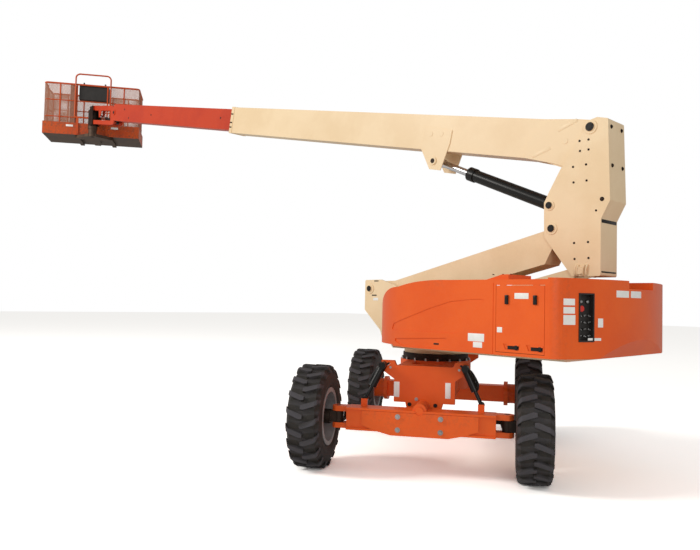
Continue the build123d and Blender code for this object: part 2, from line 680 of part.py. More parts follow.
def base_boom():
    half, wall = base_half_width, base_wall
    tube = boom_box(480, base_length, half, base_above, base_below, wall)
    tail_outline = [(base_tail, -base_tail * 0.4), (base_tail - 30, -190), (-180, -395), (-300, -base_below - 45),
                    (-500, -base_below), (-500, base_above), (-160, base_above + 12), (base_tail - 40, 70),
                    (base_tail, 20)]
    tail = plate(tail_outline, -half, half)
    tail -= pin_y(0, 0, main_pin_radius + running_gap, -half - 20, half + 20)
    shape = tube + tail
    for s in (-1, 1):
        y0, y1 = sorted((s * half, s * (half + doubler_thickness)))
        doubler = plate([(base_tail - 6, -30), (base_tail - 36, -180), (-190, -380), (-310, -base_below - 30),
                         (-doubler_front, -base_below), (-doubler_front + 5, -150), (-560, -40),
                         (-440, base_above), (-160, base_above), (base_tail - 30, 50)], y0, y1)
        doubler -= pin_y(0, 0, main_pin_radius + running_gap, y0 - 1, y1 + 1)
        bracket = plate([(-lift_bracket_rear, -100), (-lift_bracket_rear, -240), (-1690, -lift_pin_below - 95),
                         (-1850, -lift_pin_below - 95), (-lift_bracket_front, -base_below),
                         (-lift_bracket_front, -80)], y0, y1)
        shape += [doubler, bracket]
    for s in (-1, 1):
        y0, y1 = sorted((s * half, s * (half + doubler_thickness + 14)))
        shape += pin_y(-lift_pin_along, -lift_pin_below, 44, y0, y1)
    collar = block(-base_length, -base_length + collar_length, -half - collar_proud, half + collar_proud,
                   -base_below - collar_proud, base_above + collar_proud)
    shape += collar - block(-base_length - 1, -base_length + collar_length + 1, -half + wall, half - wall,
                            -base_below + wall, base_above - wall)
    pad_depth = 150
    x0, x1 = -base_length + 4, -base_length + pad_depth
    gap = running_gap
    pads = [block(x0, x1, -60, 60, fly_above + gap, base_above - wall + 1),
            block(x0, x1, -60, 60, -base_below + wall - 1, -fly_below - gap),
            block(x0, x1, fly_half_width + gap, half - wall + 1, -200, -60),
            block(x0, x1, -half + wall - 1, -fly_half_width - gap, -200, -60)]
    return turned(boom_angle, main_pin) * (shape + pads)


def fly_boom():
    half, wall = fly_half_width, fly_wall
    shape = boom_box(base_length - fly_inside, fly_end, half, fly_above, fly_below, wall)
    shape -= block(-fly_end - 1, -fly_end + fork_length, -half + wall, half - wall, -fly_below - 1, fly_above + 1)
    bulk = block(-fly_end + fork_length, -fly_end + fork_length + 12, -half + 1, half - 1, -fly_below + 1,
                 fly_above - 1)
    shape += bulk
    for z, tip in ((fly_above, 70), (-fly_below, 60)):
        corner = plate([(-fly_end - 1, z), (-fly_end + tip, z), (-fly_end - 1, z - (tip if z > 0 else -tip))],
                       -half - 1, half + 1)
        shape -= corner
    x, z = -fly_end + level_pin_back, -level_pin_below
    for s in (-1, 1):
        y0, y1 = sorted((s * (half - wall), s * (half + 10)))
        shape += pin_y(x, z, 52, y0, y1)
    shape += pin_y(x, z, 28, -half - 14, half + 14)
    return turned(boom_angle, main_pin) * shape


def cylinder_barrel(base, angle, radius, length, eye_half, eye_radius, pin_radius):
    """A barrel with its base eye, its gland and a bore for the rod."""
    shape = pin_x(0, 0, radius, -length, -eye_radius * 0.6)
    shape += pin_x(0, 0, radius * 1.14, -length, -length + radius * 1.3)
    shape += pin_y(0, 0, eye_radius, -eye_half, eye_half)
    shape -= pin_y(0, 0, pin_radius + running_gap, -radius - eye_half, radius + eye_half)
    return turned(angle, base) * shape


def lift_barrel():
    shape = cylinder_barrel(lift_base_pin, lift_angle, lift_barrel_radius, lift_barrel_length, 60, 58, 34)
    bore = pin_x(0, 0, lift_rod_radius + running_gap, -lift_barrel_length - 1, -110)
    return shape - turned(lift_angle, lift_base_pin) * bore


def lift_rod():
    shape = pin_x(0, 0, lift_rod_radius, -lift_length + lift_eye_radius * 0.6, -450)
    shape += pin_y(-lift_length, 0, lift_eye_radius, -60, 60)
    shape += pin_y(-lift_length, 0, lift_pin_radius, running_gap - base_half_width, base_half_width - running_gap)
    return turned(lift_angle, lift_base_pin) * shape


# Level head, jib and carrier
def low_pins(point):
    return [pin_y(-point[0], point[1], jib_pin_radius, *sorted((s * jib_stub_inner, s * (head_inner + 1))))
            for s in (-1, 1)]


def level_head():
    p = (-level_pin[0], level_pin[1])
    top = (-jib_top_pin[0], jib_top_pin[1])
    low = (-jib_low_pin[0], jib_low_pin[1])
    shape = pin_y(p[0], p[1], 50, -head_inner - head_plate, head_inner + head_plate)
    shape -= pin_y(p[0], p[1], 28 + running_gap, -200, 200)
    outline = [(p[0] + 42, p[1] + 30), (top[0] + 20, top[1] + 42), (top[0] - 38, top[1] + 34),
               (top[0] - 38, low[1] - 34), (low[0] + 20, low[1] - 42), (-jib_base_pin[0] + 20, jib_base_pin[1] - 45),
               (p[0] + 42, p[1] - 40)]
    for s in (-1, 1):
        y0, y1 = sorted((s * head_inner, s * (head_inner + head_plate)))
        cheek = plate(outline, y0, y1, radius=12)
        cheek -= pin_y(p[0], p[1], 28 + running_gap, y0 - 1, y1 + 1)
        shape += cheek
    for point in (jib_top_pin, jib_base_pin):
        shape += pin_y(-point[0], point[1], jib_pin_radius, -head_inner - 1, head_inner + 1)
    return shape + low_pins(jib_low_pin)


def jib_arm():
    half = jib_arm_half_width
    shape = block(-jib_length, 0, -half, half, -jib_arm_depth / 2, jib_arm_depth / 2)
    shape -= block(-jib_length + 80, -80, -half + 6, half - 6, -jib_arm_depth / 2 + 6, jib_arm_depth / 2 - 6)
    for x in (0, -jib_length):
        shape += pin_y(x, 0, jib_arm_depth / 2, -head_inner + side_gap, head_inner - side_gap)
        shape -= pin_y(x, 0, jib_pin_radius + running_gap, -head_inner, head_inner)
    for s in (-1, 1):
        y0, y1 = sorted((s * jib_bracket_inner, s * (jib_bracket_inner + 9)))
        shape += plate([(-jib_eye_along - 70, -jib_arm_depth / 2 + 2), (-jib_eye_along - 24, -jib_eye_below - 24),
                        (-jib_eye_along + 24, -jib_eye_below - 24), (-jib_eye_along + 70, -jib_arm_depth / 2 + 2)],
                       y0, y1)
        shape += pin_y(-jib_eye_along, -jib_eye_below, 22, *sorted((s * (jib_bracket_inner + 1), s * (jib_bracket_inner + 11))))
    return turned(jib_angle, jib_top_pin) * shape


def jib_link():
    deep = jib_bar_depth / 2
    shape = None
    for s in (-1, 1):
        y0, y1 = sorted((s * jib_bar_inner, s * (jib_bar_inner + jib_bar_thickness)))
        bar = block(-jib_length, 0, y0, y1, -deep, deep)
        for x in (0, -jib_length):
            bar += pin_y(x, 0, jib_boss_radius + 4, y0, y1)
            bar -= pin_y(x, 0, jib_pin_radius + running_gap, y0 - 1, y1 + 1)
        shape = bar if shape is None else shape + bar
    return turned(jib_angle, jib_low_pin) * shape


def jib_barrel():
    shape = cylinder_barrel(jib_base_pin, jib_cylinder_angle, jib_cylinder_radius, jib_barrel_length, 28, 34,
                            jib_pin_radius)
    bore = pin_x(0, 0, jib_rod_radius + running_gap, -jib_barrel_length - 1, -60)
    return shape - turned(jib_cylinder_angle, jib_base_pin) * bore


def jib_rod():
    shape = pin_x(0, 0, jib_rod_radius, -jib_cylinder_length + 20, -jib_rod_tail)
    shape += pin_y(-jib_cylinder_length, 0, 28, -26, 26)
    shape += pin_y(-jib_cylinder_length, 0, 15, running_gap - jib_bracket_inner, jib_bracket_inner - running_gap)
    return turned(jib_cylinder_angle, jib_base_pin) * shape


def platform_carrier():
    """Upright between the jib's far pins and the rotator's shaft."""
    top, low = carrier_top_pin, carrier_low_pin
    shape = None
    x_back = -(rotator_x - 40)
    for s in (-1, 1):
        y0, y1 = sorted((s * head_inner, s * (head_inner + head_plate)))
        cheek = plate([(-(top[0] - 40), top[1] + 40), (x_back, top[1] + 40), (x_back, low[1] - 60),
                       (-(low[0] - 40), low[1] - 60)], y0, y1, radius=14)
        shape = cheek if shape is None else shape + cheek
    shape += pin_y(-top[0], top[1], jib_pin_radius, -head_inner - 1, head_inner + 1)
    shape += low_pins(low)
    shape += block(x_back + 18, x_back, -head_inner - 1, head_inner + 1, low[1] - 60, top[1] + 40)
    shape += pin_z(-rotator_x, 0, rotator_radius, low[1] - 60, top[1] - 20)
    shape += pin_z(-rotator_x, 0, 40, low[1] - 170, low[1] - 59)
    return shape


def platform_support():
    """The arm from the rotator under the floor."""
    low = carrier_low_pin[1]
    floor_bottom = platform_floor_z
    hub = pin_z(-rotator_x, 0, rotator_radius, low - 118, low - 60 - running_gap)
    hub -= pin_z(-rotator_x, 0, 40 + running_gap, low - 130, low + 30)
    arm_top = floor_bottom - running_gap
    arm = slab([(-rotator_x + 60, -80), (-rotator_x + 60, 80), (-platform_near - 60, 380),
                (-platform_near - platform_depth + 120, 380), (-platform_near - platform_depth + 120, 300),
                (-platform_near - 160, 300), (-platform_near - 120, 120), (-platform_near - 700, 60),
                (-platform_near - 700, -60), (-platform_near - 120, -120), (-platform_near - 160, -300),
                (-platform_near - platform_depth + 120, -300), (-platform_near - platform_depth + 120, -380),
                (-platform_near - 60, -380)], arm_top - 60, arm_top)
    arm -= pin_z(-rotator_x, 0, 40 + running_gap, arm_top - 100, arm_top + 10)
    column = pin_z(-rotator_x, 0, rotator_radius - 10, arm_top - 60, low - 117)
    column -= pin_z(-rotator_x, 0, 40 + running_gap, arm_top - 100, low)
    return arm + [column, hub]


def platform_floor():
    x0, x1 = -platform_far, -platform_near
    tray = block(x0, x1, -platform_half_length, platform_half_length, platform_floor_z,
                 platform_floor_z + floor_thickness)
    toe = block(x0, x1, -platform_half_length, platform_half_length, platform_floor_z + floor_thickness - 1,
                platform_floor_z + toe_height)
    t = toe_thickness
    toe -= block(x0 + t, x1 - t, -platform_half_length + t, platform_half_length - t, platform_floor_z,
                 platform_floor_z + toe_height + 1)
    inset = deck_plate_inset
    deck = block(x0 + inset, x1 - deck_plate_near, inset - platform_half_length, platform_half_length - inset,
                 platform_floor_z + floor_thickness - 1, platform_floor_z + floor_thickness + deck_plate)
    return tray + toe + deck


def rail_loop(z, radius):
    """A rail round the platform, open at the gate."""
    x_far, x_near = -platform_far + rail_inset, -platform_near - rail_inset
    y_end = platform_half_length - rail_inset
    route = FilletPolyline((gate_post_x, -y_end, z), (x_near, -y_end, z), (x_near, y_end, z), (x_far, y_end, z),
                           (x_far, -y_end, z), radius=60)
    start = Plane(origin=route @ 0, z_dir=route % 0)
    return sweep(start * Circle(radius), path=route)


def gate_heights():
    return platform_floor_z + toe_height + 30, platform_floor_z + platform_height - rail_radius * 2 - side_gap


def gate_hinges():
    z0, z1 = gate_heights()
    return z0 + hinge_places[0], z1 - hinge_places[1]


def platform_rails():
    """Round top rail and thinner lower rails on square posts, standing inside the toe board."""
    z0 = platform_floor_z + floor_thickness + running_gap
    top = platform_floor_z + platform_height - rail_radius
    x_far, x_near = -platform_far + rail_inset, -platform_near - rail_inset
    y_end = platform_half_length - rail_inset
    lower = [rail_loop(z0 + share * (top - z0), mid_rail_radius) for share in mid_rail_shares]
    posts = [(x_far, -y_end), (gate_post_x, -y_end)]
    for y in (-y_end + post_pitch / 2, -post_pitch / 2, post_pitch / 2, y_end - post_pitch / 2):
        posts += [(x_far, y), (x_near, y)]
    posts.append(((x_far + x_near) / 2, y_end))
    squares = [block(x - post_half, x + post_half, y - post_half, y + post_half, z0, top) for x, y in posts]
    collars = [pin_z(gate_post_x, -y_end, hinge_radius, z, z + hinge_height) for z in gate_hinges()]
    return rail_loop(top, rail_radius) + lower + squares + collars


def platform_hoop():
    """The tube that guards the console, outside the near rails, with its lower bar."""
    x = rail_radius + hoop_radius + running_gap - platform_near - rail_inset
    y0, y1 = hoop_sides
    route = FilletPolyline((x, y0, hoop_bottom), (x, y0, hoop_top), (x, y1, hoop_top), (x, y1, hoop_bottom),
                           radius=hoop_bend)
    start = Plane(origin=route @ 0, z_dir=route % 0)
    tube = sweep(start * Circle(hoop_radius), path=route)
    bar = block(x - hoop_radius + 2, x + hoop_radius - 2, y0 - hoop_radius, y1 + hoop_radius, hoop_bottom - 24,
                hoop_bottom + 4)
    feet = [block(running_gap - platform_near, x + hoop_radius - 2, y - 20, y + 20, platform_floor_z + 20,
                  hoop_bottom - 20)
            for y in (y0 + 60, y1 - 60)]
    return tube + [bar] + feet


def control_cabinet():
    """Black housing of the platform's controls, beside the console, standing on the floor."""
    near, far, top, depth = cabinet
    x1 = -platform_near - rail_inset - rail_radius - running_gap
    z0 = platform_floor_z + floor_thickness + running_gap
    return plate([(x1, z0), (x1, top), (x1 - depth + 30, top), (x1 - depth, top - 60), (x1 - depth, z0)], near, far)


def platform_gate():
    """A framed gate between the far corner post and the gate post, hung on the gate post."""
    y = -(platform_half_length - rail_inset)
    x0 = -platform_far + rail_inset + post_half + gate_gap
    x1 = gate_post_x - post_half - gate_gap
    z0, z1 = gate_heights()
    frame = block(x0, x1, y - gate_half, y + gate_half, z0, z1)
    frame -= block(x0 + 2 * gate_half, x1 - 2 * gate_half, y - 50, y + 50, z0 + 2 * gate_half, z1 - 2 * gate_half)
    bar = block(x0 + 1, x1 - 1, y - gate_half / 2, y + gate_half / 2, (z0 + z1) / 2 - 14, (z0 + z1) / 2 + 14)
    shape = frame + bar
    for z in gate_hinges():
        tab = block(x1 - 1, gate_post_x, y - gate_half, y + gate_half, z, z + hinge_height)
        shape += tab - pin_z(gate_post_x, y, hinge_radius + running_gap, z - 1, z + hinge_height + 1)
    return shape


def control_console():
    z = platform_floor_z + platform_height
    x = -platform_near - rail_inset - rail_radius - running_gap
    return plate([(x, z - 8), (x, z - 330), (x - 200, z - 330), (x - 320, z - 130), (x - 320, z - 60)],
                 *console_sides)


def on_rotator(shape, shift=0.0):
    """A piece drawn square to the boom, shifted along the platform's length and turned about the rotator."""
    return Pos(-rotator_x, 0, 0) * Rot(0, 0, -platform_turn) * Pos(rotator_x, shift, 0) * shape


def main_parts():
    wheel = {"tyre": tyre(), "rim": rim()}
    nodes = {}
    nodes["chassis_frame"] = yawed(chassis_frame())
    nodes["front_axle"] = yawed(front_axle())
    nodes["rear_axle"] = yawed(rear_axle())
    nodes["lockout_cylinders"] = yawed(Compound(lockout_cylinders()))
    nodes["steer_cylinder"] = yawed(steer_cylinder())
    nodes["tie_rod"] = yawed(tie_rod())
    nodes["swing_bearing"] = swing_bearing()
    corners = (("front_left", 1, -1), ("front_right", -1, -1), ("rear_left", 1, 1), ("rear_right", -1, 1))
    for name, side, end in corners:
        place = Rot(0, 0, chassis_yaw) * Pos(side * wheel_x, end * axle_y, tyre_radius)
        if side < 0:
            place = place * Rot(0, 0, 180)
        for kind, shape in wheel.items():
            nodes[kind + "_" + name] = place * shape
    for name, side in (("left", 1), ("right", -1)):
        nodes["steering_knuckle_" + name] = yawed(steering_knuckle(side))
    nodes["turntable_frame"] = turntable_frame()
    nodes["counterweight"] = counterweight()
    nodes["ground_controls"] = ground_controls()
    left_hood, left_door, left_pack = hood(), hood_door(), battery_pack()
    nodes["hood_far"] = left_hood
    nodes["hood_near"] = mirror(left_hood, about=Plane.XZ)
    nodes["hood_door_far"] = left_door
    nodes["hood_door_near"] = mirror(left_door, about=Plane.XZ)
    nodes["battery_pack_far"] = left_pack
    nodes["battery_pack_near"] = mirror(left_pack, about=Plane.XZ)
    nodes["lower_riser"] = lower_riser()
    nodes["riser_knuckle"] = riser_knuckle()
    nodes["upper_riser"] = upper_riser()
    nodes["tower_link"] = tower_link()
    nodes["upright"] = upright()
    nodes["base_boom"] = base_boom()
    nodes["fly_boom"] = fly_boom()
    nodes["lift_cylinder_barrel"] = lift_barrel()
    nodes["lift_cylinder_rod"] = lift_rod()
    nodes["level_head"] = level_head()
    nodes["jib_arm"] = jib_arm()
    nodes["jib_link"] = jib_link()
    nodes["jib_cylinder_barrel"] = jib_barrel()
    nodes["jib_cylinder_rod"] = jib_rod()
    nodes["platform_carrier"] = platform_carrier()
    nodes["platform_support"] = on_rotator(platform_support())
    nodes["platform_floor"] = on_rotator(platform_floor(), platform_shift)
    nodes["platform_rails"] = on_rotator(platform_rails(), platform_shift)
    nodes["platform_hoop"] = on_rotator(platform_hoop(), platform_shift)
    nodes["platform_gate"] = on_rotator(platform_gate(), platform_shift)
    nodes["control_console"] = on_rotator(control_console(), platform_shift)
    nodes["control_cabinet"] = on_rotator(control_cabinet(), platform_shift)
    return nodes


os.makedirs("parts", exist_ok=True)
for node, shape in main_parts().items():
    export_step(Pos(-origin_x, 0, 0) * shape, "parts/" + node + ".step")
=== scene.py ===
import bpy
import bmesh
import math
from mathutils import Matrix, Vector


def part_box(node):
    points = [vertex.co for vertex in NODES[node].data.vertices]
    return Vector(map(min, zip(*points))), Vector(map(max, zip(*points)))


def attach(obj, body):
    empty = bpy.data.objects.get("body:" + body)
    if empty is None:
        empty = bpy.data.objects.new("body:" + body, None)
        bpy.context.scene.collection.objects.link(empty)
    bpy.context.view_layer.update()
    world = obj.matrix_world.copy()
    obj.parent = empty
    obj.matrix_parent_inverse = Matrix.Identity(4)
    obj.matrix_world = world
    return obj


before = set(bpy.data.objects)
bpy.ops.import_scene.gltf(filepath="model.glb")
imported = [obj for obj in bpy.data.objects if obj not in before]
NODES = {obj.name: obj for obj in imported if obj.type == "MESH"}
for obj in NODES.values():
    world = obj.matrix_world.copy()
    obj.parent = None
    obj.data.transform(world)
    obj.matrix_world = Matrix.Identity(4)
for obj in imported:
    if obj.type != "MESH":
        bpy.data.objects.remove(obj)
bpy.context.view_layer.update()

# Places are given as the measured ones: s ahead of the slewing centre, y across, z up (metres).
# The row frame has x = -s - origin.
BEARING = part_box("swing_bearing")
ORIGIN_X = -(BEARING[0].x + BEARING[1].x) / 2
YAW = math.radians(32.5)


def at(s, y, z):
    """Row-frame place from a place measured ahead of the slewing centre."""
    return Vector((-s - ORIGIN_X, y, z))


def on_chassis(x, y, z):
    """Row-frame place of a point of the yawed chassis, drawn along its own Y."""
    c, sn = math.cos(YAW), math.sin(YAW)
    return Vector((x * c - y * sn - ORIGIN_X, x * sn + y * c, z))


CHASSIS_ROT = Matrix.Rotation(YAW, 3, "Z")
ROTATOR_S = 9.3674
PLATFORM_ROT = Matrix.Rotation(math.radians(-32.1), 3, "Z")
PLATFORM_SHIFT = -0.055


def seat_platform(bm):
    """Moves what is drawn square, round the rotator's axis, to the turned platform's place."""
    for v in bm.verts:
        p = PLATFORM_ROT @ Vector((v.co.x, v.co.y + PLATFORM_SHIFT, v.co.z))
        v.co = p + Vector((-ROTATOR_S - ORIGIN_X, 0, 0))


# Materials
def srgb(r, g, b):
    def f(v):
        v /= 255.0
        return v / 12.92 if v <= 0.04045 else ((v + 0.055) / 1.055) ** 2.4
    return (f(r), f(g), f(b), 1.0)


def new_material(name):
    m = bpy.data.materials.new(name)
    m.use_nodes = True
    tree = m.node_tree
    tree.nodes.clear()
    out = tree.nodes.new("ShaderNodeOutputMaterial")
    bsdf = tree.nodes.new("ShaderNodeBsdfPrincipled")
    tree.links.new(bsdf.outputs[0], out.inputs[0])
    return m, tree, bsdf


def node(tree, kind, **values):
    n = tree.nodes.new(kind)
    for key, value in values.items():
        if key in n.bl_rna.properties:
            setattr(n, key, value)
        else:
            n.inputs[key].default_value = value
    return n


def ramp(tree, source, stops):
    r = tree.nodes.new("ShaderNodeValToRGB")
    while len(r.color_ramp.elements) < len(stops):
        r.color_ramp.elements.new(0.5)
    for e, (pos, col) in zip(r.color_ramp.elements, stops):
        e.position = pos
        e.color = col if len(col) == 4 else (*col, 1.0)
    tree.links.new(source, r.inputs[0])
    return r


def connect(tree, socket, value):
    """Links an output to a socket, or sets a plain value on it."""
    if hasattr(value, "is_output"):
        tree.links.new(value, socket)
    else:
        socket.default_value = value


def mix(tree, fac, a, b):
    m = tree.nodes.new("ShaderNodeMix")
    m.data_type = "RGBA"
    for socket, value in ((m.inputs[0], fac), (m.inputs[6], a), (m.inputs[7], b)):
        connect(tree, socket, value)
    return m.outputs[2]


def object_coords(tree):
    return tree.nodes.new("ShaderNodeTexCoord").outputs["Object"]


def noise(tree, scale, detail, rough, vector):
    n = node(tree, "ShaderNodeTexNoise", Scale=scale, Detail=detail, Roughness=rough)
    tree.links.new(vector, n.inputs["Vector"])
    return n.outputs["Fac"]


def math_node(tree, op, a, b, clamp=False):
    m = tree.nodes.new("ShaderNodeMath")
    m.operation = op
    m.use_clamp = clamp
    for socket, value in ((m.inputs[0], a), (m.inputs[1], b)):
        connect(tree, socket, value)
    return m.outputs[0]


def add_bump(tree, bsdf, height, strength, distance):
    bumper = node(tree, "ShaderNodeBump", Strength=strength, Distance=distance)
    tree.links.new(height, bumper.inputs["Height"])
    tree.links.new(bumper.outputs[0], bsdf.inputs["Normal"])


def by_camera_ray(tree, other, seen, out):
    """Gives camera rays one shader and all other rays another."""
    path = tree.nodes.new("ShaderNodeLightPath")
    mixed = tree.nodes.new("ShaderNodeMixShader")
    tree.links.new(path.outputs["Is Camera Ray"], mixed.inputs[0])
    tree.links.new(other.outputs[0], mixed.inputs[1])
    tree.links.new(seen.outputs[0], mixed.inputs[2])
    tree.links.new(mixed.outputs[0], out.inputs[0])


OFF, ON = (0, 0, 0), (1, 1, 1)


def painted(name, base, dark, rough=0.38, wear=0.5, coat=0.06, worn=(92, 78, 66), dust=(196, 176, 150)):
    """Sprayed paint: faint orange peel, painted shade darkening the creases, chipped edges and a faint dust
    tint.
    """
    m, t, b = new_material(name)
    geo = t.nodes.new("ShaderNodeNewGeometry")
    coords = object_coords(t)
    broad = noise(t, 1.7, 5.0, 0.6, coords)
    fine = noise(t, 42.0, 3.0, 0.6, coords)
    tone = ramp(t, broad, ((0.38, srgb(*dark)), (0.58, srgb(*base))))
    colour = mix(t, math_node(t, "MULTIPLY", fine, 0.05), tone.outputs[0], srgb(*dust))
    streaks = node(t, "ShaderNodeMapping")
    streaks.inputs["Scale"].default_value = (9.0, 9.0, 0.8)
    t.links.new(coords, streaks.inputs["Vector"])
    runs = ramp(t, noise(t, 1.6, 6.0, 0.7, streaks.outputs[0]), ((0.60, OFF), (0.80, ON)))
    colour = mix(t, math_node(t, "MULTIPLY", runs.outputs[0], 0.06), colour, srgb(*worn))
    edge = ramp(t, geo.outputs["Pointiness"], ((0.60, OFF), (0.68, ON)))
    spots = ramp(t, noise(t, 26.0, 5.0, 0.7, coords), ((0.47, OFF), (0.58, ON)))
    chips = math_node(t, "MULTIPLY", edge.outputs[0], spots.outputs[0])
    colour = mix(t, math_node(t, "MULTIPLY", chips, wear), colour, srgb(*worn))
    # Painted shade: hollow creases (low pointiness) are darkened towards a dark brown.
    crease_shade = ramp(t, geo.outputs["Pointiness"], ((0.36, ON), (0.42, OFF)))
    colour = mix(t, math_node(t, "MULTIPLY", crease_shade.outputs[0], 0.25), colour, srgb(70, 52, 40))
    t.links.new(colour, b.inputs["Base Color"])
    rough_out = math_node(t, "ADD", math_node(t, "MULTIPLY", broad, 0.16), rough - 0.08)
    rough_out = math_node(t, "ADD", rough_out, math_node(t, "MULTIPLY", chips, 0.3), clamp=True)
    t.links.new(rough_out, b.inputs["Roughness"])
    b.inputs["Specular IOR Level"].default_value = 0.22
    b.inputs["Coat Weight"].default_value = coat
    b.inputs["Coat Roughness"].default_value = 0.18
    peel = math_node(t, "ADD", noise(t, 260.0, 2.0, 0.5, coords), math_node(t, "MULTIPLY", fine, 0.6))
    add_bump(t, b, peel, 0.06, 0.0015)
    return m


def rubber(name, base, dusty, face, scale=30.0):
    """Worn rubber: grime, lighter edges and specks of dirt."""
    m, t, b = new_material(name)
    coords = object_coords(t)
    geo = t.nodes.new("ShaderNodeNewGeometry")
    grime = noise(t, 7.0, 6.0, 0.65, coords)
    colour = ramp(t, grime, ((0.35, srgb(*base)), (0.75, srgb(*dusty)))).outputs[0]
    edge = ramp(t, geo.outputs["Pointiness"], ((0.505, OFF), (0.56, ON)))
    colour = mix(t, math_node(t, "MULTIPLY", edge.outputs[0], 0.55), colour, srgb(*face))
    speck = ramp(t, noise(t, 90.0, 3.0, 0.6, coords), ((0.62, OFF), (0.72, ON)))
    colour = mix(t, math_node(t, "MULTIPLY", speck.outputs[0], 0.25), colour, srgb(120, 108, 92))
    t.links.new(colour, b.inputs["Base Color"])
    t.links.new(math_node(t, "ADD", math_node(t, "MULTIPLY", grime, 0.25), 0.6), b.inputs["Roughness"])
    add_bump(t, b, noise(t, scale, 6.0, 0.7, coords), 0.35, 0.003)
    return m


def metal(name, base, dark, rough=0.35, metallic=1.0, bump=0.08, scale=80.0):
    m, t, b = new_material(name)
    coords = object_coords(t)
    tone = noise(t, 6.0, 6.0, 0.65, coords)
    colour = ramp(t, tone, ((0.35, srgb(*dark)), (0.68, srgb(*base)))).outputs[0]
    t.links.new(colour, b.inputs["Base Color"])
    b.inputs["Metallic"].default_value = metallic
    t.links.new(math_node(t, "ADD", math_node(t, "MULTIPLY", tone, 0.3), rough - 0.12), b.inputs["Roughness"])
    add_bump(t, b, noise(t, scale, 4.0, 0.6, coords), bump, 0.002)
    return m


def plastic(name, base, light, rough=0.5, bump=0.12, scale=300.0):
    m, t, b = new_material(name)
    coords = object_coords(t)
    tone = noise(t, 12.0, 5.0, 0.6, coords)
    colour = ramp(t, tone, ((0.35, srgb(*base)), (0.8, srgb(*light)))).outputs[0]
    t.links.new(colour, b.inputs["Base Color"])
    t.links.new(math_node(t, "ADD", math_node(t, "MULTIPLY", tone, 0.2), rough - 0.1), b.inputs["Roughness"])
    add_bump(t, b, noise(t, scale, 3.0, 0.5, coords), bump, 0.001)
    return m


ORANGE = painted("orange_paint", (240, 98, 28), (234, 91, 26), wear=0.3)
ORANGE_DEEP = painted("deep_orange_paint", (198, 58, 20), (188, 50, 18), wear=0.3)
CREAM = painted("cream_paint", (243, 218, 180), (237, 210, 170), worn=(150, 128, 100), dust=(214, 196, 168),
                wear=0.25)
BLACK_PAINT = painted("black_paint", (30, 28, 27), (20, 19, 18), worn=(92, 88, 84), dust=(92, 84, 76),
                      rough=0.42)
RAIL_PAINT = painted("rail_paint", (206, 84, 30), (196, 74, 28), worn=(110, 80, 62), wear=0.6)
RUBBER = rubber("tyre_rubber", (26, 23, 19), (48, 43, 38), (84, 82, 90))
HOSE = rubber("hose_rubber", (18, 17, 17), (34, 32, 31), (50, 50, 52), scale=120.0)
GREY_RIM = metal("rim_grey", (176, 176, 178), (140, 140, 142), rough=0.5, metallic=0.35, scale=60.0)
DARK_STEEL = metal("dark_steel", (66, 52, 44), (38, 30, 26), rough=0.55, metallic=0.7, scale=90.0)
STEEL = metal("bright_steel", (196, 196, 196), (150, 150, 150), rough=0.28, scale=120.0)
CHROME = metal("chrome_rod", (220, 220, 224), (188, 188, 192), rough=0.16, bump=0.02, scale=200.0)
CYLINDER_BLACK = painted("cylinder_black", (17, 17, 17), (10, 10, 10), worn=(70, 66, 60), dust=(70, 66, 60),
                         rough=0.36, coat=0.12)
BATTERY = plastic("battery_case", (52, 50, 50), (72, 70, 70))
CONSOLE = plastic("console_plastic", (30, 27, 25), (44, 40, 38), rough=0.5)
KNOB_RED = plastic("stop_red", (206, 40, 30), (224, 62, 44), rough=0.35)
KNOB_BLACK = plastic("knob_black", (22, 22, 22), (36, 36, 36), rough=0.35)
DECAL = plastic("blank_decal", (236, 236, 232), (250, 250, 248), rough=0.4, bump=0.03, scale=40.0)
MESH_TAN = metal("mesh_steel", (196, 142, 116), (176, 122, 98), rough=0.55, metallic=0.25, scale=220.0)
FLOOR_STEEL = metal("floor_steel", (96, 76, 60), (66, 50, 40), rough=0.55, metallic=0.5, scale=60.0)

PAINTS = {
    "chassis_frame": ORANGE, "front_axle": ORANGE, "rear_axle": ORANGE, "steering_knuckle_left": DARK_STEEL,
    "steering_knuckle_right": DARK_STEEL, "lockout_cylinders": CYLINDER_BLACK,
    "steer_cylinder": CYLINDER_BLACK,
    "tie_rod": DARK_STEEL, "swing_bearing": DARK_STEEL, "turntable_frame": CREAM, "counterweight": ORANGE,
    "ground_controls": CONSOLE, "hood_far": ORANGE, "hood_near": ORANGE, "hood_door_far": ORANGE,
    "hood_door_near": ORANGE, "battery_pack_far": BATTERY, "battery_pack_near": BATTERY, "lower_riser": CREAM,
    "riser_knuckle": CREAM, "upper_riser": CREAM, "tower_link": CREAM, "upright": CREAM, "base_boom": CREAM,
    "fly_boom": ORANGE_DEEP, "lift_cylinder_barrel": CYLINDER_BLACK, "lift_cylinder_rod": CHROME,
    "level_head": ORANGE_DEEP, "jib_arm": ORANGE_DEEP, "jib_link": ORANGE_DEEP,
    "jib_cylinder_barrel": CYLINDER_BLACK, "jib_cylinder_rod": CHROME, "platform_carrier": DARK_STEEL,
    "platform_support": FLOOR_STEEL, "platform_floor": RAIL_PAINT, "platform_rails": RAIL_PAINT,
    "platform_hoop": RAIL_PAINT, "platform_gate": RAIL_PAINT, "control_console": CONSOLE,
    "control_cabinet": CONSOLE,
}
for name, obj in NODES.items():
    material = PAINTS.get(name)
    if material is None:
        material = RUBBER if name.startswith("tyre_") else GREY_RIM
    obj.data.materials.clear()
    obj.data.materials.append(material)
tray = NODES["platform_floor"].data
tray.materials.append(FLOOR_STEEL)
for face in tray.polygons:
    face.material_index = 1 if face.normal.z < -0.5 else 0


# Mesh making
def show(obj):
    bpy.context.scene.collection.objects.link(obj)
    return obj


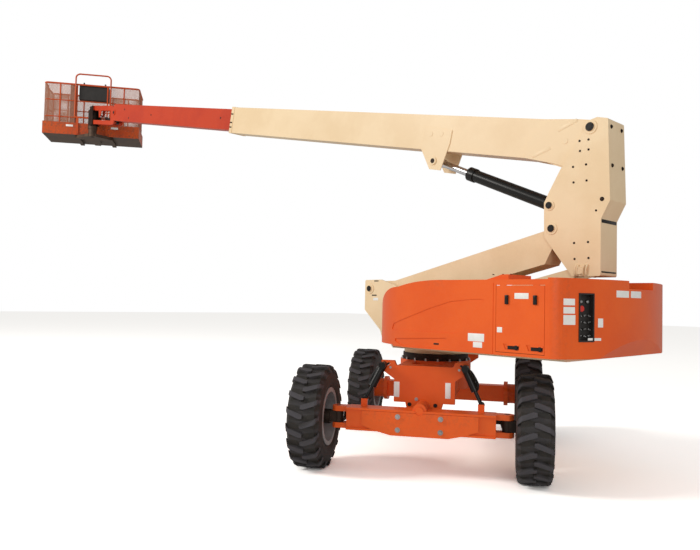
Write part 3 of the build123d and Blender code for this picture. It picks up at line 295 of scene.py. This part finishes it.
def piece(name, bm, material, body, smooth=30.0):
    mesh = bpy.data.meshes.new(name)
    bmesh.ops.recalc_face_normals(bm, faces=bm.faces)
    bm.to_mesh(mesh)
    bm.free()
    obj = show(bpy.data.objects.new(name, mesh))
    for m in material if isinstance(material, (list, tuple)) else [material]:
        mesh.materials.append(m)
    if smooth:
        for p in mesh.polygons:
            p.use_smooth = True
        mesh.set_sharp_from_angle(angle=math.radians(smooth))
    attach(obj, body)
    return obj


def add_box(bm, centre, size, rot=None, bevel=0.0, slot=0):
    """A box with its edges bevelled, at a centre, turned by a matrix."""
    made = bmesh.ops.create_cube(bm, size=1.0)["verts"]
    for v in made:
        v.co = Vector((v.co.x * size[0], v.co.y * size[1], v.co.z * size[2]))
    faces = set(f for v in made for f in v.link_faces)
    if bevel:
        edges = list(set(e for v in made for e in v.link_edges))
        res = bmesh.ops.bevel(bm, geom=edges, offset=bevel, segments=2, affect="EDGES", profile=0.5)
        made = list(set(v for f in res["faces"] for v in f.verts) | set(v for v in made if v.is_valid))
        faces = set(f for v in made if v.is_valid for f in v.link_faces)
    for v in set(v for f in faces for v in f.verts):
        v.co = (rot @ v.co if rot is not None else v.co) + Vector(centre)
    for f in faces:
        f.material_index = slot
    return faces


def frame_to(axis):
    """Turns Z to an axis."""
    return Vector(axis).to_track_quat("Z", "Y").to_matrix()


def add_disc(bm, centre, axis, radius, height, sides=24, bevel=0.0, slot=0, top=None):
    """A short round or six-sided stub that stands on a face, along an axis."""
    r = frame_to(axis)
    top = radius if top is None else top
    rings = [(radius, 0.0)]
    if bevel:
        rings += [(top, height - bevel), (top - bevel, height)]
    else:
        rings += [(top, height)]
    loops = []
    for rad, z in rings:
        loops.append([bm.verts.new(r @ Vector((rad * math.cos(2 * math.pi * i / sides),
                                               rad * math.sin(2 * math.pi * i / sides), z)) + Vector(centre))
                      for i in range(sides)])
    for lo, hi in zip(loops, loops[1:]):
        for i in range(sides):
            f = bm.faces.new((lo[i], lo[(i + 1) % sides], hi[(i + 1) % sides], hi[i]))
            f.material_index = slot
    for loop, flip in ((loops[0], True), (loops[-1], False)):
        f = bm.faces.new(list(reversed(loop)) if flip else loop)
        f.material_index = slot


def add_bolt(bm, centre, axis, radius, height, slot=0):
    """A hexagon head on its washer."""
    add_disc(bm, centre, axis, radius * 1.45, height * 0.25, 20, 0.0, slot)
    base = Vector(centre) + Vector(axis).normalized() * height * 0.25
    add_disc(bm, base, axis, radius, height * 0.75, 6, radius * 0.12, slot)


def add_tube(bm, points, radius, sides=12, slot=0, closed=False):
    """A round tube along points, with its rings turned smoothly from one to the next."""
    points = [Vector(p) for p in points]
    n = len(points)
    normal = None
    rings = []
    for i, p in enumerate(points):
        if closed:
            d = points[(i + 1) % n] - points[i - 1]
        else:
            d = points[min(i + 1, n - 1)] - points[max(i - 1, 0)]
        d.normalize()
        if normal is None:
            normal = d.orthogonal().normalized()
        normal = (normal - d * normal.dot(d)).normalized()
        side = d.cross(normal)
        rings.append([bm.verts.new(p + radius * (math.cos(a) * normal + math.sin(a) * side))
                      for a in (2 * math.pi * k / sides for k in range(sides))])
    pairs = list(zip(rings, rings[1:])) + ([(rings[-1], rings[0])] if closed else [])
    for a, b in pairs:
        for k in range(sides):
            f = bm.faces.new((a[k], a[(k + 1) % sides], b[(k + 1) % sides], b[k]))
            f.material_index = slot
    if not closed:
        bm.faces.new(list(reversed(rings[0]))).material_index = slot
        bm.faces.new(rings[-1]).material_index = slot


def smooth_path(points, steps=10):
    """A Catmull-Rom line through a few points."""
    points = [Vector(p) for p in points]
    ext = [points[0] * 2 - points[1]] + points + [points[-1] * 2 - points[-2]]
    out = []
    for i in range(1, len(ext) - 2):
        a, b, c, d = ext[i - 1:i + 3]
        for k in range(steps):
            t = k / steps
            out.append(0.5 * ((2 * b) + (c - a) * t + (2 * a - 5 * b + 4 * c - d) * t * t
                              + (3 * b - a - 3 * c + d) * t ** 3))
    out.append(points[-1])
    return out


def straight_bar(bm, p, q, width, thick, normal, slot=0):
    """A flat bar between two points, width across and thick along the normal."""
    p, q, normal = Vector(p), Vector(q), Vector(normal).normalized()
    d = (q - p).normalized()
    side = d.cross(normal).normalized() * width / 2
    n = normal * thick / 2
    ends = []
    for c in (p, q):
        ends.append([bm.verts.new(c + side + n), bm.verts.new(c - side + n), bm.verts.new(c - side - n),
                     bm.verts.new(c + side - n)])
    a, b = ends
    for i in range(4):
        bm.faces.new((a[i], a[(i + 1) % 4], b[(i + 1) % 4], b[i])).material_index = slot
    bm.faces.new(list(reversed(a))).material_index = slot
    bm.faces.new(b).material_index = slot


# Faces that small pieces stand on: distances from the middle plane, and the cast tail's radius
TAIL_R = 2.320
TAIL_LIFT = 0.0012
HOOD_SIDE = 1.066
UPRIGHT_SIDE = 0.1648
UPRIGHT_BOSS = 0.1808
DOUBLER_SIDE = 0.1408
KNUCKLE_BOSS = 0.1998
KNUCKLE_SLOT = 0.1805
CHASSIS_FRONT = -1.0002


def tail_point(y, z, out=0.0):
    """A point of the tail's arc at a place across and a height."""
    r = TAIL_R + out
    turn = math.asin(y / TAIL_R)
    return Vector((r * math.cos(turn) - ORIGIN_X, r * math.sin(turn), z))


def arc_plate(bm, y0, y1, z0, z1, slot=0, thick=TAIL_LIFT, steps=8):
    """A thin plate bent round the tail."""
    rows = []
    for i in range(steps + 1):
        y = y0 + (y1 - y0) * i / steps
        rows.append([bm.verts.new(tail_point(y, z, out)) for z, out in
                     ((z0, -0.002), (z0, thick), (z1, thick), (z1, -0.002))])
    for a, b in zip(rows, rows[1:]):
        for k in range(4):
            bm.faces.new((a[k], b[k], b[(k + 1) % 4], a[(k + 1) % 4])).material_index = slot
    bm.faces.new(rows[0]).material_index = slot
    bm.faces.new(list(reversed(rows[-1]))).material_index = slot


def side_plate(bm, s0, s1, z0, z1, y, slot=0, thick=0.0014, bevel=0.0004):
    """A thin blank plate on a face that looks along Y."""
    sign = -1 if y < 0 else 1
    add_box(bm, at((s0 + s1) / 2, y + sign * (thick / 2 - 0.0006), (z0 + z1) / 2),
            (abs(s1 - s0), thick + 0.0012, abs(z1 - z0)), bevel=bevel, slot=slot)


# Blank plates and signs
bm = bmesh.new()
for y0, y1, z0, z1 in ((-0.995, -0.893, 1.628, 1.682), (-0.995, -0.893, 1.561, 1.614),
                       (-0.995, -0.888, 1.470, 1.549), (-0.658, -0.601, 1.450, 1.524),
                       (-0.763, -0.623, 1.340, 1.362), (-0.436, -0.256, 1.704, 1.762),
                       (-0.224, -0.040, 1.704, 1.762)):
    arc_plate(bm, y0, y1, z0, z1)
piece("tail_plates", bm, DECAL, "turntable")
bm = bmesh.new()
side_plate(bm, -1.385, -1.213, 1.293, 1.363, -HOOD_SIDE)
side_plate(bm, -1.365, -1.269, 1.240, 1.288, -HOOD_SIDE)
piece("hood_plates_near", bm, DECAL, "turntable")
bm = bmesh.new()
side_plate(bm, -1.819, -1.685, 1.673, 1.722, -HOOD_SIDE)
side_plate(bm, -1.567, -1.516, 1.384, 1.429, -HOOD_SIDE)
piece("door_plates_near", bm, DECAL, "door_near")
bm = bmesh.new()
for x0, x1, z0, z1 in ((-0.300, -0.245, 0.688, 0.838), (0.206, 0.258, 0.696, 0.848)):
    p = on_chassis((x0 + x1) / 2, -1.0005, (z0 + z1) / 2)
    add_box(bm, p, (x1 - x0, 0.003, z1 - z0), rot=CHASSIS_ROT, bevel=0.0005)
piece("chassis_plates", bm, DECAL, "chassis")
bm = bmesh.new()
for y0, y1 in ((-0.511, -0.369), (0.403, 0.550)):
    add_box(bm, (-0.1575, (y0 + y1) / 2, 5.252), (0.003, y1 - y0, 0.042), bevel=0.0005)
seat_platform(bm)
piece("platform_plates", bm, DECAL, "platform")
bm = bmesh.new()
side_plate(bm, 0.735, 0.815, 1.640, 1.672, -0.180)
piece("knuckle_plate", bm, DECAL, "riser_knuckle")

# Wheels: nuts on the disc, a hub cover and a valve
NUTS = 9
WHEELS = (("front_left", 1, -1), ("front_right", -1, -1), ("rear_left", 1, 1), ("rear_right", -1, 1))
for name, side, end in WHEELS:
    bm = bmesh.new()
    out = Vector((1, 0, 0))
    for i in range(NUTS):
        a = 2 * math.pi * i / NUTS
        add_bolt(bm, (0.0598, 0.122 * math.cos(a), 0.122 * math.sin(a)), out, 0.0125, 0.022)
    add_disc(bm, (0.1700, 0, 0), out, 0.040, 0.010, 32, 0.004)
    for i in range(3):
        a = 2 * math.pi * i / 3
        add_bolt(bm, (0.1795, 0.024 * math.cos(a), 0.024 * math.sin(a)), out, 0.004, 0.005)
    add_disc(bm, (0.028, 0.0, 0.205), Vector((1, 0, 0.25)), 0.005, 0.045, 12, 0.001)
    turn = CHASSIS_ROT if side > 0 else CHASSIS_ROT @ Matrix.Rotation(math.pi, 3, "Z")
    centre = on_chassis(side * 1.0405, end * 1.225, 0.498)
    for v in bm.verts:
        v.co = turn @ v.co + centre
    piece("wheel_nuts_" + name, bm, STEEL, "wheel_" + name)

# Chassis: bolts of the folded axle plate, of the pivot's keeper and of the top, and the axle's hoses
OUT_FRONT = CHASSIS_ROT @ Vector((0, -1, 0))
bm = bmesh.new()
for x, z in ((-0.2, 0.552), (0.2, 0.552), (-0.2, 0.430), (0.2, 0.430)):
    add_bolt(bm, on_chassis(x, -1.3598, z), OUT_FRONT, 0.017, 0.018)
for x, z in ((-0.075, 0.655), (0.040, 0.598)):
    add_bolt(bm, on_chassis(x, CHASSIS_FRONT, z + 0.02), OUT_FRONT, 0.012, 0.014)
for side in (-1, 1):
    for dx in (-0.03, 0.03):
        add_bolt(bm, on_chassis(side * 0.368 + dx, CHASSIS_FRONT, 0.976), OUT_FRONT, 0.008, 0.012)
for a in range(0, 360, 20):
    c, sn = math.cos(math.radians(a)), math.sin(math.radians(a))
    add_bolt(bm, on_chassis(0.372 * c, 0.372 * sn, 0.9998), (0, 0, 1), 0.011, 0.026)
piece("chassis_bolts", bm, STEEL, "chassis")
# Painted shade: thin black discs and plates where the chassis has holes and slots.
bm = bmesh.new()
for x in (-0.142, 0.112):
    add_disc(bm, on_chassis(x, -0.9998, 0.622), OUT_FRONT, 0.020, 0.003, 20)
for side in (-1, 1):
    add_box(bm, on_chassis(side * 0.372, -0.9985, 1.003), (0.060, 0.006, 0.018),
            rot=CHASSIS_ROT @ Matrix.Rotation(math.radians(side * 38), 3, "Y"))
piece("chassis_hole_shade", bm, BLACK_PAINT, "chassis")
bm = bmesh.new()
for side in (-1, 1):
    route = smooth_path([on_chassis(side * 0.395, -0.990, 0.985), on_chassis(side * 0.455, -1.040, 0.965),
                         on_chassis(side * 0.520, -1.085, 0.860), on_chassis(side * 0.505, -1.100, 0.800),
                         on_chassis(side * 0.455, -1.068, 0.845)], 14)
    n = len(route)
    add_tube(bm, route, 0.011, 12)
    for i in range(2, n - 2):
        d = (route[i + 1] - route[i - 1]).normalized()
        add_disc(bm, route[i] - d * 0.002, d, 0.0145, 0.004, 12)
piece("lockout_hoses", bm, HOSE, "chassis")

# Upright: bolts on its sides and back, caps on its pins, painted shade in the gaps of the back cover, loops
UPRIGHT_BOLTS = ((-1.793, 3.162), (-1.881, 3.162), (-1.798, 3.067), (-1.882, 3.069),
                 (-1.730, 2.926), (-1.859, 2.933), (-1.736, 2.779), (-1.865, 2.783),
                 (-1.747, 2.210), (-1.884, 2.213), (-1.753, 2.061), (-1.890, 2.066))
bm = bmesh.new()
for side in (-1, 1):
    for s, z in UPRIGHT_BOLTS:
        add_bolt(bm, at(s, side * UPRIGHT_SIDE, z), (0, side, 0), 0.0075, 0.008)
    add_bolt(bm, at(-2.015, side * UPRIGHT_SIDE, 2.598), (0, side, 0), 0.014, 0.012)
    add_bolt(bm, at(-1.959, side * UPRIGHT_SIDE, 2.498), (0, side, 0), 0.007, 0.006)
for y in (-0.105, 0.105):
    for s, z in ((-2.0688, 3.262), (-2.0800, 2.905)):
        add_bolt(bm, at(s, y, z), (1, 0, 0), 0.013, 0.012)
piece("upright_bolts", bm, DARK_STEEL, "upright")
bm = bmesh.new()
for side in (-1, 1):
    for s, z, r in ((-1.899, 3.276, 0.042), (-1.490, 2.584, 0.034), (-1.514, 2.360, 0.036)):
        face = at(s, side * UPRIGHT_BOSS, z)
        add_disc(bm, face, (0, side, 0), r * 0.98, 0.004, 32, 0.001)
        add_disc(bm, face + Vector((0, side * 0.004, 0)), (0, side, 0), r * 0.55, 0.003, 24, 0.001)
        for k in range(3):
            a = 0.6 + 2 * math.pi * k / 3
            add_bolt(bm, face + Vector((r * 0.74 * math.cos(a), side * 0.004, r * 0.74 * math.sin(a))),
                     (0, side, 0), r * 0.12, 0.005)
piece("upright_pin_caps", bm, BLACK_PAINT, "upright")
# Painted shade: black strips where the back cover has gaps.
bm = bmesh.new()
add_box(bm, at(-2.0040, 0, 2.402), (0.008, 0.300, 0.032), bevel=0.002)
add_box(bm, at(-2.0040, 0, 1.938), (0.008, 0.290, 0.014), bevel=0.002)
piece("upright_cover_gap_shade", bm, BLACK_PAINT, "upright")
bm = bmesh.new()
for side in (-1, 1):
    for s0, s1 in ((-1.790, -1.752), (-1.886, -1.822)):
        for k in (0.0, 0.5):
            s = s0 + (s1 - s0) * (0.25 + k)
            route = smooth_path([at(s, side * 0.163, 1.905), at(s, side * 0.176, 1.925),
                                 at(s - 0.004, side * 0.178, 1.970), at(s - 0.012, side * 0.172, 1.998),
                                 at(s - 0.014, side * 0.158, 2.006)], 8)
            add_tube(bm, route, 0.009, 12)
piece("upright_loops", bm, CREAM, "upright")

# Boom: raised stiffeners of the doublers, bracket bosses, slide-pad screws
BOOM_ANGLE = math.radians(12.0)
BOOM_TILT = Matrix.Rotation(BOOM_ANGLE, 3, "Y")
MAIN_PIN_S, MAIN_PIN_Z = -1.899, 3.276


def boom_point(forward, y, above):
    """A place along the boom from its main pin, across, and above the pin's line."""
    c, sn = math.cos(BOOM_ANGLE), math.sin(BOOM_ANGLE)
    return at(MAIN_PIN_S + forward * c - above * sn, y, MAIN_PIN_Z + forward * sn + above * c)


bm = bmesh.new()
for side in (-1, 1):
    y = side * 0.1415
    for s, z, length, tilt in ((-1.656, 3.338, 0.205, -19.0), (-1.379, 3.117, 0.205, -17.0)):
        add_box(bm, at(s, y, z), (length, 0.005, 0.034), bevel=0.0024,
                rot=Matrix.Rotation(math.radians(tilt), 3, "Y"))
    add_disc(bm, at(-1.633, side * DOUBLER_SIDE, 3.191), (0, side, 0), 0.030, 0.004, 28, 0.001)
    for s, z in ((0.005, 3.523), (-0.144, 3.499)):
        add_disc(bm, at(s, side * DOUBLER_SIDE, z), (0, side, 0), 0.026, 0.004, 24, 0.001)
piece("boom_embossing", bm, CREAM, "base_boom")
bm = bmesh.new()
for side in (-1, 1):
    for along in (5.955, 5.985):
        for above in (-0.045, -0.175, -0.245):
            add_bolt(bm, boom_point(along, side * 0.1368, above), (0, side, 0), 0.0085, 0.008)
    add_disc(bm, boom_point(1.812, side * 0.1548, -0.450), (0, side, 0), 0.027, 0.004, 24, 0.001)
for along in (5.955, 5.985):
    for y in (-0.06, 0.06):
        up = BOOM_TILT @ Vector((0, 0, 1))
        add_bolt(bm, boom_point(along, y, 0.0668), up, 0.0085, 0.008)
piece("boom_bolts", bm, DARK_STEEL, "base_boom")
# Painted shade: thin black discs where the fly boom has holes.
bm = bmesh.new()
for side in (-1, 1):
    for s, z in ((7.677, 5.252), (7.495, 5.053), (6.604, 4.949), (4.318, 4.484)):
        add_disc(bm, at(s, side * 0.1098, z), (0, side, 0), 0.017, 0.0004, 20)
    add_disc(bm, boom_point(10.220, side * 0.1238, -0.130), (0, side, 0), 0.027, 0.003, 24, 0.001)
piece("fly_hole_shade", bm, BLACK_PAINT, "fly_boom")

# Knuckle: pin caps, and black plates that paint the shade of its slots
bm = bmesh.new()
for side in (-1, 1):
    for s, z in ((0.581, 1.374), (0.873, 1.782)):
        face = at(s, side * KNUCKLE_BOSS, z)
        add_disc(bm, face, (0, side, 0), 0.034, 0.004, 28, 0.001)
        add_disc(bm, face + Vector((0, side * 0.004, 0)), (0, side, 0), 0.018, 0.003, 20, 0.001)
    # Painted shade: black plates where the knuckle's slots are.
    add_box(bm, at(0.800, side * KNUCKLE_SLOT, 1.702), (0.075, 0.004, 0.014), bevel=0.0015)
    add_box(bm, at(0.770, side * KNUCKLE_SLOT, 1.872), (0.070, 0.004, 0.012), bevel=0.0015)
piece("knuckle_caps_and_slot_shade", bm, BLACK_PAINT, "riser_knuckle")

# Hoods: black latches of the doors, black plates that paint the shade of the doors' handle pockets and of a
# slot low on the side, roof screws
for name, side in (("near", -1), ("far", 1)):
    bm = bmesh.new()
    for x in (1.598, 1.870):
        add_box(bm, at(-x - 0.015, side * 1.0745, 1.665), (0.033, 0.016, 0.078), bevel=0.004)
        add_box(bm, at(-x - 0.015, side * 1.0830, 1.682), (0.022, 0.006, 0.030), bevel=0.002)
    # Painted shade: black plates where the handle pockets are recessed.
    for x in (1.578, 1.801):
        add_box(bm, at(-x - 0.095, side * 1.0585, 1.262), (0.110, 0.003, 0.034), bevel=0.001)
        add_box(bm, at(-x - 0.128, side * 1.0672, 1.262), (0.026, 0.008, 0.040), bevel=0.003)
    piece("door_latches_and_pocket_shade_" + name, bm, BLACK_PAINT, "door_" + name)
    bm = bmesh.new()
    # Painted shade: a black plate where the slot low on the side is.
    add_box(bm, at(-0.848, side * 1.0570, 1.244), (0.060, 0.004, 0.016), bevel=0.0015)
    for x in (1.380, 1.480, 1.560):
        add_bolt(bm, at(-x, side * 0.93, 1.8838), (0, 0, 1), 0.009, 0.008)
    piece("hood_screws_and_slot_shade_" + name, bm, BLACK_PAINT, "turntable")

# Ground controls: toggles, round knobs and the red stop
PANEL_TURN = math.radians(-19.65)
R_PANEL = Matrix.Rotation(PANEL_TURN, 3, "Z")
PANEL_OUT = R_PANEL @ Vector((1, 0, 0))
PANEL_RECESS, SWITCH_PLATE = 0.060, 0.020


def panel_point(y, z, out):
    """A place on the ground controls: across, height, and out from the switch plate."""
    p = R_PANEL @ Vector((TAIL_R - PANEL_RECESS + SWITCH_PLATE + out, y, 0))
    return Vector((p.x - ORIGIN_X, p.y, z))


bm = bmesh.new()
for i, h in enumerate((0.048, 0.104, 0.160, 0.216)):
    for k in (-1, 0, 1):
        p = panel_point(k * 0.0466, 1.330 + h, 0.0155)
        add_disc(bm, p, PANEL_OUT, 0.0074, 0.004, 20, 0.001)
        tip = PANEL_OUT + Vector((0, 0, 0.35 if (i + k) % 2 else -0.35))
        add_disc(bm, p + PANEL_OUT * 0.003, tip, 0.0032, 0.016, 12, 0.001, top=0.0045)
for k in (-1, 1):
    p = panel_point(k * 0.035, 1.660, 0.0095)
    add_disc(bm, p, PANEL_OUT, 0.0125, 0.012, 28, 0.003)
    add_box(bm, p + PANEL_OUT * 0.013, (0.004, 0.004, 0.020), rot=R_PANEL, bevel=0.001)
piece("ground_knobs", bm, STEEL, "turntable")
bm = bmesh.new()
add_disc(bm, panel_point(-0.040, 1.602, 0.0235), PANEL_OUT, 0.026, 0.012, 32, 0.006)
piece("ground_stop", bm, KNOB_RED, "turntable")

# Platform: expanded-metal infill, kick band, console controls. Places are drawn square to the boom
# from the rotator's axis, and seat_platform turns them.
INSET = 0.0255
NEAR_EDGE, FAR_EDGE, END_EDGE = -0.160, -1.070, 0.985
X_NEAR, X_FAR = NEAR_EDGE - INSET, FAR_EDGE + INSET
Y_END = END_EDGE - INSET
HOOP_LEGS = (-0.345, 0.380)
GATE_WIDTH = 0.560
Z_FLOOR = 5.061
Z_LOW, Z_TOP = Z_FLOOR + 0.150, Z_FLOOR + 1.076
MESH_PITCH = 0.028


def mesh_panel(bm, a, b, z0, z1, normal):
    """Crossing diagonal strands that fill an upright panel between two floor points."""
    a, b = Vector((a[0], a[1], 0)), Vector((b[0], b[1], 0))
    length = (b - a).length
    d = (b - a) / length
    h = z1 - z0
    for lean in (1, -1):
        k = -h
        while k < length:
            u0, v0 = k, 0.0
            u1, v1 = k + h, h
            if u0 < 0:
                v0, u0 = -u0, 0.0
            if u1 > length:
                v1, u1 = h - (u1 - length), length
            if v1 > v0 + 0.004:
                if lean < 0:
                    v0, v1 = h - v0, h - v1
                p = a + d * u0 + Vector((0, 0, z0 + v0))
                q = a + d * u1 + Vector((0, 0, z0 + v1))
                off = Vector(normal) * (0.0009 * lean)
                straight_bar(bm, p + off, q + off, 0.0078, 0.0016, normal)
            k += MESH_PITCH


bm = bmesh.new()
mesh_panel(bm, (X_NEAR, -Y_END), (X_NEAR, HOOP_LEGS[0]), Z_LOW, Z_TOP, (1, 0, 0))
mesh_panel(bm, (X_NEAR, HOOP_LEGS[1]), (X_NEAR, Y_END), Z_LOW, Z_TOP, (1, 0, 0))
mesh_panel(bm, (X_FAR, -Y_END), (X_FAR, Y_END), Z_LOW, Z_TOP, (1, 0, 0))
mesh_panel(bm, (X_FAR, Y_END), (X_NEAR, Y_END), Z_LOW, Z_TOP, (0, 1, 0))
mesh_panel(bm, (X_FAR + GATE_WIDTH, -Y_END), (X_NEAR, -Y_END), Z_LOW, Z_TOP, (0, 1, 0))
seat_platform(bm)
piece("platform_mesh", bm, MESH_TAN, "platform", smooth=0)
bm = bmesh.new()
mesh_panel(bm, (X_FAR + 0.045, -Y_END), (X_FAR + 0.515, -Y_END), Z_FLOOR + 0.202, Z_FLOOR + 1.048,
           (0, 1, 0))
seat_platform(bm)
piece("gate_mesh", bm, MESH_TAN, "platform_gate", smooth=0)
# Kick band that carries the toe board up to its full height
bm = bmesh.new()
for x0, x1, y0, y1 in ((-0.163, -0.1598, -0.985, 0.985), (-1.0702, -1.067, -0.985, 0.985),
                       (-1.070, -0.160, 0.982, 0.9852), (-1.070, -0.160, -0.9852, -0.982)):
    add_box(bm, ((x0 + x1) / 2, (y0 + y1) / 2, Z_FLOOR + 0.2045), (x1 - x0, y1 - y0, 0.107))
seat_platform(bm)
piece("kick_band", bm, RAIL_PAINT, "platform", smooth=0)
CONSOLE_X, CONSOLE_Z = NEAR_EDGE - 0.0253 - 0.019 - 0.0003, Z_FLOOR + 1.106
SLANT = math.atan2(0.052, 0.320)
UP = Vector((-math.sin(SLANT), 0, math.cos(SLANT)))


def console_point(back, y, out=0.0):
    """A place on the console's slanted top: back from its high edge, and across."""
    return Vector((CONSOLE_X - back * math.cos(SLANT), y, CONSOLE_Z - back * math.sin(SLANT))) + UP * out


bm = bmesh.new()
for y in (-0.21, 0.23):
    add_disc(bm, console_point(0.16, y), UP, 0.040, 0.022, 28, 0.008, top=0.026)
    add_disc(bm, console_point(0.16, y, 0.020), UP, 0.0075, 0.075, 16, 0.002, top=0.0095)
    add_disc(bm, console_point(0.16, y, 0.090), UP, 0.015, 0.034, 24, 0.010, top=0.018)
for i in range(8):
    y = -0.12 + i * 0.040
    add_disc(bm, console_point(0.085, y), UP, 0.008, 0.006, 20, 0.001)
    tip = UP + Vector((0.3 if i % 2 else -0.3, 0, 0))
    add_disc(bm, console_point(0.085, y, 0.005), tip, 0.003, 0.018, 12, 0.001)
seat_platform(bm)
piece("console_levers", bm, KNOB_BLACK, "platform")
bm = bmesh.new()
add_disc(bm, console_point(0.245, 0.02), UP, 0.020, 0.026, 32, 0.006, top=0.024)
seat_platform(bm)
piece("console_stop", bm, KNOB_RED, "platform")

# Battery bays: covers and cell caps inside the open hoods
for name, side in (("near", -1), ("far", 1)):
    bm = bmesh.new()
    for i in range(6):
        for k in range(2):
            s, y = -0.745 - i * 0.21, side * (0.590 + k * 0.250)
            add_box(bm, at(s, y, 1.6445), (0.190, 0.225, 0.012), bevel=0.004)
            for j in (-1, 0, 1):
                add_disc(bm, at(s, y + j * 0.065, 1.6500), (0, 0, 1), 0.016, 0.012, 20, 0.003)
    piece("battery_covers_" + name, bm, BATTERY, "turntable")

# Floor: pale for the light on the object, and brighter where the camera sees it
FLOOR_HALF = 60.0
bm = bmesh.new()
bm.faces.new([bm.verts.new((x * FLOOR_HALF, y * FLOOR_HALF, 0))
              for x, y in ((-1, -1), (1, -1), (1, 1), (-1, 1))])
mesh = bpy.data.meshes.new("floor")
bm.to_mesh(mesh)
bm.free()
floor = show(bpy.data.objects.new("floor", mesh))
m = bpy.data.materials.new("pale_floor")
m.use_nodes = True
t = m.node_tree
t.nodes.clear()
diffuse = node(t, "ShaderNodeBsdfDiffuse")
grain = ramp(t, noise(t, 3.0, 5.0, 0.6, object_coords(t)),
             ((0.3, (0.80, 0.80, 0.79)), (0.7, (0.84, 0.84, 0.83))))
t.links.new(grain.outputs[0], diffuse.inputs[0])
seen = node(t, "ShaderNodeBsdfDiffuse")
seen.inputs[0].default_value = (2.0, 2.0, 2.0, 1)
by_camera_ray(t, diffuse, seen, t.nodes.new("ShaderNodeOutputMaterial"))
mesh.materials.append(m)

# Light: a wide soft key from the camera's left, a weak fill, and an even pale sky that the camera sees white
world = bpy.data.worlds.new("studio")
bpy.context.scene.world = world
world.use_nodes = True
t = world.node_tree
t.nodes.clear()
sky = node(t, "ShaderNodeBackground", Strength=0.44)
sky.inputs[0].default_value = (1.0, 0.985, 0.96, 1)
white = node(t, "ShaderNodeBackground", Strength=1.0)
white.inputs[0].default_value = (1, 1, 1, 1)
by_camera_ray(t, sky, white, t.nodes.new("ShaderNodeOutputWorld"))


def area(name, place, target, size, energy, colour):
    """A round soft lamp that looks at a target."""
    light = bpy.data.lights.new(name, "AREA")
    light.shape = "DISK"
    light.size = size
    light.energy = energy
    light.color = colour
    obj = show(bpy.data.objects.new(name, light))
    obj.location = place
    obj.rotation_mode = "QUATERNION"
    obj.rotation_quaternion = (Vector(target) - Vector(place)).to_track_quat("-Z", "Y")


area("key", (-6.0, -14.0, 11.0), (0.5, 0.0, 2.5), 6.0, 1600.0, (1.0, 0.97, 0.92))
area("fill", (13.0, -9.0, 5.0), (2.0, 0.0, 2.0), 6.0, 350.0, (1.0, 0.96, 0.93))

# Camera at the photograph's place: turned, tipped and rolled as measured
cam_data = bpy.data.cameras.new("camera")
cam_data.sensor_width = 36.0
cam_data.lens = 35.2
cam_data.clip_end = 400.0
cam = show(bpy.data.objects.new("camera", cam_data))
heading, tip, roll = math.radians(45.83), math.radians(2.222), math.radians(1.233)
forward = Vector((-math.sin(heading) * math.cos(tip), math.cos(heading) * math.cos(tip), math.sin(tip)))
right = Vector((math.cos(heading), math.sin(heading), 0))
up = right.cross(forward)
rolled_right = right * math.cos(roll) + up * math.sin(roll)
rolled_up = up * math.cos(roll) - right * math.sin(roll)
cam.rotation_mode = "QUATERNION"
cam.rotation_quaternion = Matrix((rolled_right, rolled_up, -forward)).transposed().to_quaternion()
cam.location = Vector((4.858 - ORIGIN_X, -6.088, 1.620))
bpy.context.scene.camera = cam
bpy.context.scene.view_settings.view_transform = "Standard"
